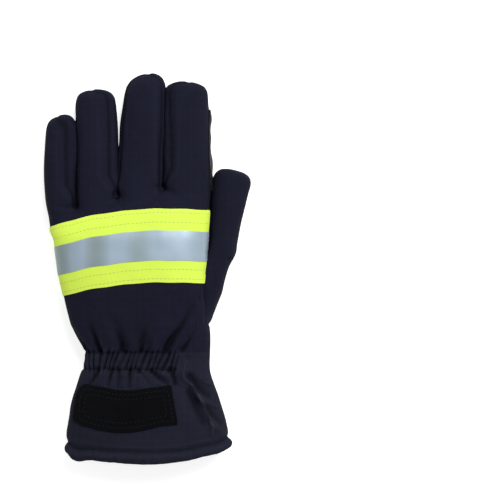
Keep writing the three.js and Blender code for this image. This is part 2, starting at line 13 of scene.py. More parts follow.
import bmesh
import bpy
import numpy as np
from mathutils import Matrix, Vector, noise
from mathutils.bvhtree import BVHTree


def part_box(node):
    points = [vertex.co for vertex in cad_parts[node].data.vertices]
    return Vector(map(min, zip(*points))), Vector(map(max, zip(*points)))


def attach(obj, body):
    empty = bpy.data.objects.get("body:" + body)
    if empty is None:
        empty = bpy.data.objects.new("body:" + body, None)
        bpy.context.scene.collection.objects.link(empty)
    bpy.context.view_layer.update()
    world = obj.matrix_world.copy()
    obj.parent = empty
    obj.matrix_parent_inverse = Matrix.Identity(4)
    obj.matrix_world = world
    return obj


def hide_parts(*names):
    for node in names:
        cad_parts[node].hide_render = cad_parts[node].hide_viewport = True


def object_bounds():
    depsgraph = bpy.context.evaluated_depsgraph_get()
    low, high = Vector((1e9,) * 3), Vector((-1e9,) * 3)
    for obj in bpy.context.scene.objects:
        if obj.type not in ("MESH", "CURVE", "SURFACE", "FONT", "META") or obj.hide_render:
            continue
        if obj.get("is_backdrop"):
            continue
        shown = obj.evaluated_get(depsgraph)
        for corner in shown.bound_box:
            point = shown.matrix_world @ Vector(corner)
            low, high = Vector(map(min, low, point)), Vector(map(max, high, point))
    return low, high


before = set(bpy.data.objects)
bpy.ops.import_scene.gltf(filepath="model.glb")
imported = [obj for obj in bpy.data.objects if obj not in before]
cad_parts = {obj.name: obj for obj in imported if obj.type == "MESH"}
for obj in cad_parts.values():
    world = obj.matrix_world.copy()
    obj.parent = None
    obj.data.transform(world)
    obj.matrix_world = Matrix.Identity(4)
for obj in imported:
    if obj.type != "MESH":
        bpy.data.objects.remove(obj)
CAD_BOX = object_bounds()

log = logging.getLogger("glove")

MM = 0.001
FAR = 0.05  # a distance that stands for "not near"
HOME = "home"  # the layer that keeps a point's place while it is cut
# The cloth's painted seam shade and roll highlights follow the seam attribute; its painted ridge highlights
# and pit shade follow the relief attribute.
SEAM = "seam"  # the attribute that says how far a point is from the nearest seam, in millimetres
RELIEF = "relief"  # the attribute that says how far folds lift a point, in millimetres
SMOOTH_BELOW = 62  # edges whose faces meet at less than this many degrees are shaded as round

FOURCHETTES = ("little_ring_fourchette", "ring_middle_fourchette", "middle_index_fourchette")
PANELS: dict[str, tuple[str, ...]] = {
    "back": ("back_panel", "little_back", "ring_back", "middle_back", "index_back"),
    "palm": ("palm_panel",),
    "thumb": ("thumb",),
    **{name: (name,) for name in FOURCHETTES},
    "wrist_band": ("wrist_band",),
    "cuff": ("cuff",),
    "cuff_hem": ("cuff_hem",),
}
HAND = ("back", "palm", "thumb", *FOURCHETTES)
SLEEVE = ("wrist_band", "cuff", "cuff_hem")
SKIN_NODES = tuple(node for nodes in PANELS.values() for node in nodes)
COLUMN = {name: index for index, name in enumerate(PANELS)}

Point = tuple[float, float]
Field = Callable[[np.ndarray], np.ndarray]  # one value for each row of places
Choice = Callable[[np.ndarray, np.ndarray], np.ndarray]  # true or false for each row of places and normals


def smoothstep(low: float, high: float, value: np.ndarray | float) -> np.ndarray | float:
    """A soft step that is 0 at low and 1 at high."""
    share = np.clip((value - low) / (high - low), 0.0, 1.0)
    return share * share * (3.0 - 2.0 * share)


def points_of(mesh: bpy.types.Mesh) -> np.ndarray:
    """The mesh's points, one row each."""
    flat = np.empty(len(mesh.vertices) * 3, np.float32)
    mesh.vertices.foreach_get("co", flat)
    return flat.reshape(-1, 3).astype(float)


def normals_of(mesh: bpy.types.Mesh) -> np.ndarray:
    """The mesh's point normals, one row each."""
    flat = np.empty(len(mesh.vertices) * 3, np.float32)
    mesh.vertex_normals.foreach_get("vector", flat)
    return flat.reshape(-1, 3).astype(float)


def set_points(mesh: bpy.types.Mesh, points: np.ndarray) -> None:
    """Moves the mesh's points.

    Args:
        mesh: The mesh to change.
        points: The new places, one row each.
    """
    mesh.vertices.foreach_set("co", points.astype(np.float32).ravel())
    mesh.update()


def set_attribute(mesh: bpy.types.Mesh, name: str, values: np.ndarray) -> None:
    """Stores a number for each point of the mesh.

    Args:
        mesh: The mesh to change.
        name: The attribute's name.
        values: One number for each point.
    """
    attribute = mesh.attributes.get(name) or mesh.attributes.new(name, "FLOAT", "POINT")
    attribute.data.foreach_set("value", values.astype(np.float32))


def polyline_distance(points: np.ndarray, line: np.ndarray) -> tuple[np.ndarray, np.ndarray]:
    """How far points of the floor's plane lie from a line of straight runs.

    Args:
        points: Places in the plane, one row each.
        line: The line's corners in order, one row each.

    Returns:
        The distances, and how far along the line the nearest place is, from 0 to 1.
    """
    best = np.full(len(points), FAR)
    share = np.zeros(len(points))
    lengths = np.linalg.norm(np.diff(line, axis=0), axis=1)
    whole = lengths.sum()
    behind = 0.0
    for start, end, length in zip(line[:-1], line[1:], lengths):
        run = end - start
        along = np.clip(((points - start) @ run) / length**2, 0.0, 1.0)
        distance = np.linalg.norm(points - start - along[:, None] * run, axis=1)
        nearer = distance < best
        best = np.where(nearer, distance, best)
        share = np.where(nearer, (behind + along * length) / whole, share)
        behind += length
    return best, share


def outline_distance(points: np.ndarray, outline: np.ndarray) -> np.ndarray:
    """How far points of the floor's plane lie inside a closed outline, below zero where they lie inside.

    Args:
        points: Places in the plane, one row each.
        outline: The outline's corners in order, one row each.

    Returns:
        The signed distances.
    """
    closed = np.vstack([outline, outline[:1]])
    distance, _ = polyline_distance(points, closed)
    inside = np.zeros(len(points), bool)
    for start, end in zip(closed[:-1], closed[1:]):
        rises = (start[1] > points[:, 1]) != (end[1] > points[:, 1])
        with np.errstate(divide="ignore", invalid="ignore"):
            crossing = (end[0] - start[0]) * (points[:, 1] - start[1]) / (end[1] - start[1]) + start[0]
        inside ^= rises & (points[:, 0] < crossing)
    return np.where(inside, -distance, distance)


def noise_at(points: np.ndarray, size: float, seed: float) -> np.ndarray:
    """Soft noise from -1 to 1 over the points.

    Args:
        points: Places, one row each.
        size: The length of one swell, in metres.
        seed: Shifts the pattern.

    Returns:
        One value for each point.
    """
    shift = Vector((seed * 7.31, seed * 3.17, seed * 5.77))
    return np.array([noise.noise(Vector(point) / size + shift) for point in points])


def search_tree(name: str) -> BVHTree:
    """A search tree over the faces of one of the frame's nodes."""
    solid = bmesh.new()
    solid.from_mesh(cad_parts[name].data)
    tree = BVHTree.FromBMesh(solid)
    solid.free()
    return tree


def finished_object(name: str, mesh: bpy.types.Mesh) -> bpy.types.Object:
    """A new object at the origin that shows the mesh."""
    mesh.name = name
    made = bpy.data.objects.new(name, mesh)
    bpy.context.scene.collection.objects.link(made)
    return made


def with_modifier(mesh: bpy.types.Mesh, kind: str, **settings: object) -> bpy.types.Mesh:
    """The mesh after one modifier.

    Args:
        mesh: The mesh to start from, which is used up.
        kind: The modifier's type.
        **settings: The modifier's settings.

    Returns:
        The new mesh.
    """
    holder = finished_object("work", mesh)
    modifier = holder.modifiers.new("work", kind)
    for key, value in settings.items():
        setattr(modifier, key, value)
    depsgraph = bpy.context.evaluated_depsgraph_get()
    result = bpy.data.meshes.new_from_object(holder.evaluated_get(depsgraph))
    bpy.data.objects.remove(holder)
    bpy.data.meshes.remove(mesh)
    return result


class Smoother:
    """Takes the facets out of a surface without pulling its rim or its rounds in."""

    def __init__(self, mesh: bpy.types.Mesh) -> None:
        """Reads which points are joined.

        Args:
            mesh: The mesh whose points will be smoothed.
        """
        self.count = len(mesh.vertices)
        edges = np.empty(len(mesh.edges) * 2, np.int32)
        mesh.edges.foreach_get("vertices", edges)
        edges = edges.reshape(-1, 2)
        loops = np.empty(len(mesh.loops), np.int32)
        mesh.loops.foreach_get("edge_index", loops)
        on_rim = np.bincount(loops, minlength=len(mesh.edges)) == 1
        rim_point = np.zeros(self.count, bool)
        rim_point[edges[on_rim].ravel()] = True
        both = np.vstack([edges, edges[:, ::-1]])
        rim_edge = np.concatenate([on_rim, on_rim])
        keep = rim_edge | ~rim_point[both[:, 0]]
        self.pairs = both[keep]
        self.degree = np.maximum(np.bincount(self.pairs[:, 0], minlength=self.count), 1)

    def average(self, values: np.ndarray) -> np.ndarray:
        """Each point's values averaged over its neighbours."""
        first, second = self.pairs[:, 0], self.pairs[:, 1]
        columns = [
            np.bincount(first, weights=values[second, axis], minlength=self.count) / self.degree
            for axis in range(values.shape[1])
        ]
        return np.stack(columns, axis=1)

    def soften(self, values: np.ndarray, rounds: int) -> np.ndarray:
        """The values after some rounds of half a step towards the neighbours' average."""
        for _ in range(rounds):
            values = 0.5 * values + 0.5 * self.average(values)
        return values

    def without_facets(self, values: np.ndarray, rounds: int) -> np.ndarray:
        """The values with small unevenness gone and large rounds kept as they were."""
        soft = self.soften(values, rounds)
        return self.soften(2.0 * values - soft, rounds)


def cut_faces(work: bmesh.types.BMesh, faces: Iterable[bmesh.types.BMFace], height: Field | None = None,
              layers: tuple[object, object] | None = None) -> dict[str, list]:
    """Cuts faces where a field is zero.

    The points stand at the field's value for the cut, and their places come back from a layer afterwards.

    Args:
        work: The mesh that holds the faces.
        faces: The faces to cut.
        height: The field, as a function of places.
        layers: Two number layers whose difference is the field, where there is no function.

    Returns:
        What bisect_plane returns.
    """
    faces = list(faces)
    if not faces:
        return {"geom": [], "geom_cut": []}
    home = work.verts.layers.float_vector.get(HOME) or work.verts.layers.float_vector.new(HOME)
    points = list({vert for face in faces for vert in face.verts})
    edges = {edge for face in faces for edge in face.edges}
    if height:
        values = height(np.array([tuple(vert.co) for vert in points])).tolist()
    else:
        values = [vert[layers[0]] - vert[layers[1]] for vert in points]
    for vert, value in zip(points, values):
        vert[home] = vert.co
        vert.co.z = value
    result = bmesh.ops.bisect_plane(
        work, geom=[*points, *edges, *faces], dist=1e-5, plane_co=(0, 0, 0), plane_no=(0, 0, 1),
    )
    for vert in {*points, *(item for item in result["geom"] if isinstance(item, bmesh.types.BMVert))}:
        if vert.is_valid:
            vert.co = vert[home]
    return result


def straddling(work: bmesh.types.BMesh, height: Field) -> list[bmesh.types.BMFace]:
    """The faces on which a field changes sign, and those that touch its zero."""
    work.verts.index_update()
    values = height(np.array([tuple(vert.co) for vert in work.verts]))
    near = 2e-5
    found = []
    for face in work.faces:
        here = [values[vert.index] for vert in face.verts]
        if min(here) < near and max(here) > -near:
            found.append(face)
    return found


def cut_away(work: bmesh.types.BMesh, height: Field) -> None:
    """Cuts a surface where a field is zero and drops what lies above it.

    Args:
        work: The surface.
        height: The field.
    """
    cut_faces(work, straddling(work, height), height)
    faces = list(work.faces)
    above = height(np.array([tuple(face.calc_center_median()) for face in faces])) > 0
    bmesh.ops.delete(work, geom=[face for face, out in zip(faces, above) if out], context="FACES")


def chains(edges: Iterable[bmesh.types.BMEdge]) -> list[list[Vector]]:
    """Strings edges together end to end.

    Args:
        edges: Edges in any order.

    Returns:
        One list of places for each chain.
    """
    links: dict[bmesh.types.BMVert, list[bmesh.types.BMVert]] = {}
    for edge in edges:
        first, second = edge.verts
        links.setdefault(first, []).append(second)
        links.setdefault(second, []).append(first)
    found = []
    starts = sorted(links, key=lambda vert: (len(links[vert]) != 1, vert.co.x, vert.co.y, vert.co.z))
    used: set[bmesh.types.BMVert] = set()
    for start in starts:
        if start in used:
            continue
        chain = [start]
        used.add(start)
        while True:
            onward = [vert for vert in links[chain[-1]] if vert not in used]
            if not onward:
                break
            chain.append(onward[0])
            used.add(onward[0])
        if len(chain) > 2:
            found.append([vert.co.copy() for vert in chain])
    return found


@dataclass(frozen=True)
class Fold:
    """A ridge, or a crease where its lift is below zero.

    Attributes:
        line: Its corners on the floor's plane, in millimetres.
        lift: How far it stands out at its first end, in millimetres.
        wide: Half its width, in millimetres.
        end: The share of the lift that is left at its last end.
        sharp: Whether it comes to an edge.
    """

    line: tuple[Point, ...]
    lift: float
    wide: float
    end: float = 0.3
    sharp: bool = False

    def height(self, plan: np.ndarray) -> np.ndarray:
        """How far it lifts each place of the plane, in metres."""
        distance, share = polyline_distance(plan, np.array(self.line) * MM)
        strength = 1.0 - (1.0 - self.end) * share
        reach = distance / (self.wide * MM)
        profile = np.exp(-1.3 * reach) if self.sharp else np.exp(-(reach**2))
        return self.lift * MM * strength * profile


@dataclass(frozen=True)
class Grab:
    """A soft pull on the whole surface, sideways.

    Attributes:
        at: Its middle on the floor's plane, in millimetres.
        reach: How far it is felt across and along the glove, in millimetres.
        move: How far it pulls, in millimetres.
        left: Nothing left of this is moved.
        right: Nothing right of this is moved.
        under: Nothing much higher than this is moved.
    """

    at: Point
    reach: Point
    move: Point
    left: float = -200.0
    right: float = 200.0
    under: float = 200.0

    def shift(self, points: np.ndarray) -> np.ndarray:
        """How far each point is moved on the plane, in metres."""
        offset = (points[:, :2] / MM - np.array(self.at)) / np.array(self.reach)
        weight = np.exp(-(offset**2).sum(axis=1))
        weight *= 1.0 - smoothstep(self.under * MM, (self.under + 5.0) * MM, points[:, 2])
        weight[(points[:, 0] < self.left * MM) | (points[:, 0] > self.right * MM)] = 0.0
        return weight[:, None] * np.array(self.move) * MM


GAP_LITTLE_RING = -53.0
GAP_RING_MIDDLE = -22.4
GAP_MIDDLE_INDEX = 11.2
THUMB_SIDE = 48.2

GRABS = (
    Grab((-76.0, 77.0), (16.0, 34.0), (-2.4, 0.0), right=GAP_LITTLE_RING),
    Grab((-75.0, 30.0), (14.0, 15.0), (3.0, 0.0)),
    Grab((-60.0, 112.0), (8.0, 6.0), (0.0, 1.5), right=GAP_LITTLE_RING),
    Grab((-57.5, 62.0), (4.5, 26.0), (1.4, 0.0), right=GAP_LITTLE_RING),
    Grab((-49.0, 62.0), (4.5, 26.0), (-1.2, 0.0), left=GAP_LITTLE_RING, right=GAP_RING_MIDDLE),
    Grab((-53.0, 117.0), (9.0, 24.0), (-1.4, 0.0), left=GAP_LITTLE_RING, right=GAP_RING_MIDDLE),
    Grab((-25.0, 96.0), (9.0, 24.0), (1.6, 0.0), left=GAP_LITTLE_RING, right=GAP_RING_MIDDLE),
    Grab((-25.0, 70.0), (9.0, 16.0), (1.3, 0.0), left=GAP_LITTLE_RING, right=GAP_RING_MIDDLE),
    Grab((-25.0, 73.0), (7.0, 18.0), (1.8, 0.0), left=GAP_LITTLE_RING, right=GAP_RING_MIDDLE),
    Grab((-25.0, 109.0), (8.0, 15.0), (0.9, 0.0), left=GAP_LITTLE_RING, right=GAP_RING_MIDDLE),
    Grab((-38.0, 133.0), (16.0, 12.0), (0.0, 1.8), left=GAP_LITTLE_RING, right=GAP_RING_MIDDLE),
    Grab((-19.0, 82.0), (8.0, 20.0), (-1.5, 0.0), left=GAP_RING_MIDDLE, right=GAP_MIDDLE_INDEX),
    Grab((-20.0, 73.0), (7.0, 18.0), (-1.8, 0.0), left=GAP_RING_MIDDLE, right=GAP_MIDDLE_INDEX),
    Grab((-19.0, 107.0), (8.0, 14.0), (-1.8, 0.0), left=GAP_RING_MIDDLE, right=GAP_MIDDLE_INDEX),
    Grab((0.0, 140.0), (16.0, 12.0), (2.6, 0.6), left=GAP_RING_MIDDLE, right=GAP_MIDDLE_INDEX),
    Grab((9.0, 106.0), (11.0, 34.0), (3.0, 0.0), left=GAP_RING_MIDDLE, right=GAP_MIDDLE_INDEX),
    Grab((9.0, 68.0), (9.0, 14.0), (1.6, 0.0), left=GAP_RING_MIDDLE, right=GAP_MIDDLE_INDEX),
    Grab((14.5, 90.0), (4.0, 34.0), (-1.2, 0.0), left=GAP_MIDDLE_INDEX),
    Grab((17.0, 136.0), (9.0, 9.0), (-1.0, 0.0), left=GAP_MIDDLE_INDEX),
    Grab((26.0, 139.0), (10.0, 8.0), (0.0, 1.3), left=GAP_MIDDLE_INDEX),
    Grab((51.0, 60.0), (7.0, 22.0), (-2.6, 0.0), left=THUMB_SIDE),
    Grab((49.5, 32.0), (5.0, 20.0), (-3.2, 0.0), left=46.3),
    Grab((46.0, 34.0), (4.0, 20.0), (2.2, 0.0), left=38.0, right=46.3, under=11.0),
    Grab((-22.4, 55.0), (5.0, 6.0), (0.0, 2.2)),
    Grab((-24.5, 61.0), (4.5, 6.5), (2.4, 0.0), left=GAP_LITTLE_RING, right=GAP_RING_MIDDLE),
    Grab((-20.3, 61.0), (4.5, 6.5), (-2.4, 0.0), left=GAP_RING_MIDDLE, right=GAP_MIDDLE_INDEX),
    Grab((74.0, 70.0), (8.0, 8.0), (1.4, -0.9), left=THUMB_SIDE),
    Grab((66.0, 76.0), (8.0, 7.0), (0.0, -0.9), left=THUMB_SIDE),
    Grab((55.0, 73.0), (7.0, 7.0), (-1.2, 0.9), left=THUMB_SIDE),
    Grab((66.0, 6.5), (9.0, 10.0), (2.5, 0.0)),
    Grab((48.0, 78.0), (6.0, 8.0), (2.4, 0.0), left=38.0, under=11.0),
    Grab((46.0, 112.0), (5.0, 7.0), (1.7, 0.0), left=38.0, under=11.0),
    Grab((46.0, 97.0), (5.0, 4.5), (1.0, 0.0), left=38.0, under=11.0),
    Grab((47.5, 58.0), (4.0, 13.0), (2.4, 0.0), left=38.0, right=THUMB_SIDE, under=11.0),
    Grab((-70.0, 9.0), (8.0, 13.0), (1.1, 0.0)),
    Grab((47.0, -50.0), (9.0, 16.0), (1.3, 0.0)),
    Grab((60.0, -108.0), (12.0, 26.0), (-1.6, 0.0)),
    Grab((-57.0, -95.0), (12.0, 14.0), (0.9, 0.0)),
    Grab((-54.0, -136.0), (10.0, 13.0), (0.0, -6.0)),
    Grab((-60.0, -132.0), (8.0, 8.0), (1.4, 0.0)),
    Grab((-36.0, -138.0), (11.0, 12.0), (0.0, -1.3)),
    Grab((0.0, -137.0), (34.0, 9.0), (0.0, 1.3)),
    Grab((57.0, -132.0), (10.0, 12.0), (0.0, -2.4)),
)

CUFF_FOLDS = (
    Fold(((28.5, -69.0), (26.7, -76.5), (27.2, -80.3), (33.0, -84.6)), 1.4, 1.5, 1.0, sharp=True),
    Fold(((33.0, -84.6), (37.6, -91.8), (41.0, -98.0), (46.5, -109.0), (48.8, -115.5), (49.2, -121.0)),
         1.8, 1.5, 0.75, sharp=True),
    Fold(((38.2, -92.4), (41.2, -96.2), (47.5, -99.4), (53.5, -101.8)), 1.4, 1.5, 0.8, sharp=True),
    Fold(((39.7, -80.8), (43.0, -83.6), (47.5, -85.6)), 1.1, 1.5, 0.7, sharp=True),
    Fold(((43.4, -79.6), (46.6, -73.0)), 0.9, 2.2, 0.6),
    Fold(((48.6, -112.5), (56.0, -119.6)), 1.0, 2.4, 0.7),
    Fold(((32.0, -78.0), (38.5, -86.5), (46.0, -92.5)), -1.7, 3.2, 0.7),
    Fold(((31.5, -90.0), (36.5, -101.0), (42.5, -112.0)), -1.5, 3.6, 0.6),
    Fold(((45.0, -101.5), (51.0, -108.5), (56.5, -112.5)), -1.4, 2.8, 0.6),
    Fold(((52.5, -92.5), (56.0, -97.5)), 0.8, 3.4, 0.7),
    Fold(((25.0, -93.0), (29.0, -107.0), (35.0, -121.0)), 0.8, 4.4, 0.6),
    Fold(((-58.0, -84.0), (-60.0, -93.0)), 0.8, 3.0, 0.6),
)
WRIST_CREASES = (
    Fold(((-41.5, -60.0), (-46.0, -52.0), (-50.0, -45.5)), 1.3, 1.6, 0.6, sharp=True),
    Fold(((-44.0, -60.5), (-50.0, -51.5), (-54.5, -44.0)), -1.5, 1.8, 0.4),
    Fold(((-35.1, -60.0), (-38.0, -50.0), (-42.5, -41.0)), -2.1, 2.2, 0.25),
    Fold(((-31.0, -60.0), (-35.0, -47.0), (-39.0, -38.0)), 1.4, 2.6, 0.3),
    Fold(((-18.0, -60.0), (-18.8, -54.0), (-21.5, -46.0)), -1.9, 2.0, 0.3),
    Fold(((-24.5, -60.0), (-27.0, -48.0)), 0.9, 2.8),
    Fold(((-4.0, -60.0), (-3.5, -52.0), (-0.5, -43.0)), -1.6, 2.0, 0.3),
    Fold(((-11.0, -60.0), (-11.5, -43.0)), 1.0, 3.4),
    Fold(((5.5, -60.0), (9.0, -42.0)), 1.1, 3.4),
    Fold(((14.5, -59.5), (18.5, -52.0), (26.4, -42.1), (33.0, -28.8)), -2.6, 2.5, 0.2),
    Fold(((19.5, -60.0), (24.5, -50.0), (31.5, -40.0)), 1.2, 2.6, 0.3),
    Fold(((26.4, -59.6), (32.3, -52.0)), -1.5, 1.9),
    Fold(((31.5, -62.0), (38.5, -52.0)), 0.9, 2.4),
    Fold(((-36.5, -74.2), (-39.0, -79.0), (-42.5, -84.0)), -1.8, 1.8, 0.5),
    Fold(((-32.0, -75.0), (-34.5, -84.0)), 1.1, 2.6, 0.6),
    Fold(((-26.0, -74.2), (-28.6, -84.5)), -1.6, 1.6, 0.5),
    Fold(((-20.5, -74.2), (-21.2, -86.0)), -1.3, 1.4, 0.5),
    Fold(((-16.8, -75.0), (-17.0, -84.5)), 0.9, 2.0, 0.5),
    Fold(((-11.9, -74.2), (-13.2, -86.0)), -1.6, 1.6, 0.5),
    Fold(((-6.2, -74.2), (-1.5, -79.5), (2.0, -83.5)), -1.4, 1.6, 0.4),
    Fold(((-2.0, -76.0), (-5.0, -85.0)), 1.0, 2.8, 0.6),
    Fold(((3.4, -74.5), (9.0, -79.5), (15.3, -83.6)), -1.6, 1.8, 0.5),
    Fold(((11.5, -75.5), (17.5, -80.5)), 1.0, 2.2, 0.6),
    Fold(((18.2, -74.2), (21.2, -83.6)), -1.9, 1.9, 0.7),
)
HAND_FOLDS = (
    Fold(((13.0, 59.5), (19.5, 56.5), (28.0, 50.0)), -0.9, 1.8, 0.3),
    Fold(((12.0, 61.5), (2.5, 60.0)), -0.9, 1.4, 0.3),
    Fold(((59.5, 7.5), (66.0, 12.5)), -1.3, 1.8, 0.5),
    Fold(((58.0, -2.0), (50.0, -16.0)), 0.7, 4.0, 0.4),
    Fold(((-52.0, 47.5), (-60.0, 45.5), (-69.0, 47.5)), -0.9, 1.8, 0.3),
    Fold(((-21.5, 56.0), (-21.5, 49.0), (-17.5, 46.5)), -1.0, 1.8, 0.4),
    Fold(((39.0, -20.0), (39.8, -30.0), (35.0, -45.0), (28.5, -58.0)), -0.8, 1.2, 0.6),
    Fold(((41.0, -26.0), (36.5, -36.0), (30.0, -43.0)), 0.6, 3.0, 0.5),
)


@dataclass(frozen=True)
class Gathers:
    """The slanted gathers that the elastic draws in the back of the wrist.

    Attributes:
        left: Where they start, in metres.
        right: Where they end.
        low: The elastic's lower stitch line.
        high: Its upper stitch line.
        pitch: From one gather to the next.
        depth: From a crest to a valley.
        slant: How far a gather leans over, as a share of its length.
        upright: How far from the start they still stand upright.
        reach: How far they run on past the stitch lines.
        sunk: The share of the depth that lies below the plain cloth.
    """

    left: float = -46.8 * MM
    right: float = 25.5 * MM
    low: float = -73.0 * MM
    high: float = -61.8 * MM
    pitch: float = 4.1 * MM
    depth: float = 3.0 * MM
    slant: float = 0.42
    upright: float = 25.0 * MM
    reach: float = 3.2 * MM
    sunk: float = 0.7

    @property
    def middle(self) -> float:
        """Where the elastic's middle runs along the glove."""
        return (self.low + self.high) / 2

    def height(self, points: np.ndarray) -> np.ndarray:
        """How far they lift each point, in metres."""
        across, along = points[:, 0], points[:, 1] - self.middle
        beyond = np.maximum(np.abs(along) - (self.high - self.low) / 2, 0.0)
        wobble = 1.7 * MM * noise_at(points * (1.0, 0.35, 0.0), 8.0 * MM, 1.0)
        lean = self.slant * smoothstep(self.left, self.left + self.upright, across)
        phase = math.pi * (across - lean * along + wobble) / self.pitch
        crest = np.abs(np.cos(phase)) ** 0.9
        uneven = 0.85 + 0.55 * noise_at(points * (1.0, 0.3, 0.0), 5.0 * MM, 2.0)
        ends = smoothstep(self.left - self.pitch / 2, self.left + self.pitch / 2, across)
        ends = ends * (1.0 - smoothstep(self.right - self.pitch, self.right, across))
        return self.depth * uneven * ends * np.exp(-beyond / self.reach) * (crest - self.sunk)


@dataclass(frozen=True)
class StripReach:
    """How far a strip between two fingers shows on the back of each of them, past its seam in the frame.

    Attributes:
        strip: The strip's name.
        gap: Where the two fingers meet, across the glove, in millimetres.
        left_root: What shows on the left finger at its root, in millimetres.
        left_tip: And at its tip.
        right_root: What shows on the right finger at its root.
        right_tip: And at its tip.
    """

    strip: str
    gap: float
    left_root: float
    left_tip: float
    right_root: float
    right_tip: float


STRIP_REACHES = (
    StripReach("little_ring_fourchette", GAP_LITTLE_RING, 5.4, 3.2, 0.0, -0.4),
    StripReach("ring_middle_fourchette", GAP_RING_MIDDLE, 5.0, 2.2, 2.2, 1.6),
    StripReach("middle_index_fourchette", GAP_MIDDLE_INDEX, 1.6, 0.6, 6.4, 1.2),
)


@dataclass(frozen=True)
class Mouth:
    """The cuff's open end, with its puffy binding.

    Attributes:
        end: Where the edge lies farthest down the glove, in metres.
        trim: How much of the solids' edge is cut off.
        middle: Where the edge's lowest point lies across the glove.
        half: Half the mouth's width.
        rise_left: How far the edge rises to its left end.
        rise_right: How far it rises to its right end.
        binding: The binding's width.
        puff: How far the binding puffs out.
        pucker: How high its small puckers stand.
        turn: How far from the edge the binding starts to turn in.
        turned: How far round it has turned at the edge, as a share of a quarter turn.
    """

    end: float = -144.9 * MM
    trim: float = 0.9 * MM
    middle: float = 0.9 * MM
    half: float = 61.4 * MM
    rise_left: float = 10.7 * MM
    rise_right: float = 14.0 * MM
    binding: float = 11.0 * MM
    puff: float = 1.2 * MM
    pucker: float = 0.75 * MM
    turn: float = 3.4 * MM
    turned: float = 0.92

    def beyond(self, places: np.ndarray) -> np.ndarray:
        """How far places lie beyond the mouth's edge."""
        across = (places[:, 0] - self.middle) / self.half
        rise = np.where(across > 0, self.rise_right, self.rise_left)
        return self.end + self.trim + rise * across**2 - places[:, 1]

    def roll(self, points: np.ndarray, seam: np.ndarray) -> np.ndarray:
        """How far the binding puffs out, with its puckers, before it turns in at its edge.

        Args:
            points: Places on the binding, one row each.
            seam: How far each is from the binding's seam.

        Returns:
            One height for each point, in metres.
        """
        puckers = self.pucker * noise_at(points * (1.0, 0.35, 1.0), 3.6 * MM, 6.0)
        round_share = math.pi * np.clip(seam / self.binding, 0.0, 1.0)
        at_edge = self.turned * np.clip(1.0 + self.beyond(points) / self.turn, 0.0, 1.0)
        return (self.puff + puckers) * np.sin(round_share) - self.turn * (1.0 - np.sqrt(1.0 - at_edge**2))


Cell = tuple[int, int, int]  # a gap's column across and row along the glove, and its number
Gaps = dict[Cell, tuple[float, float]]  # the heights of each gap's bottom and top


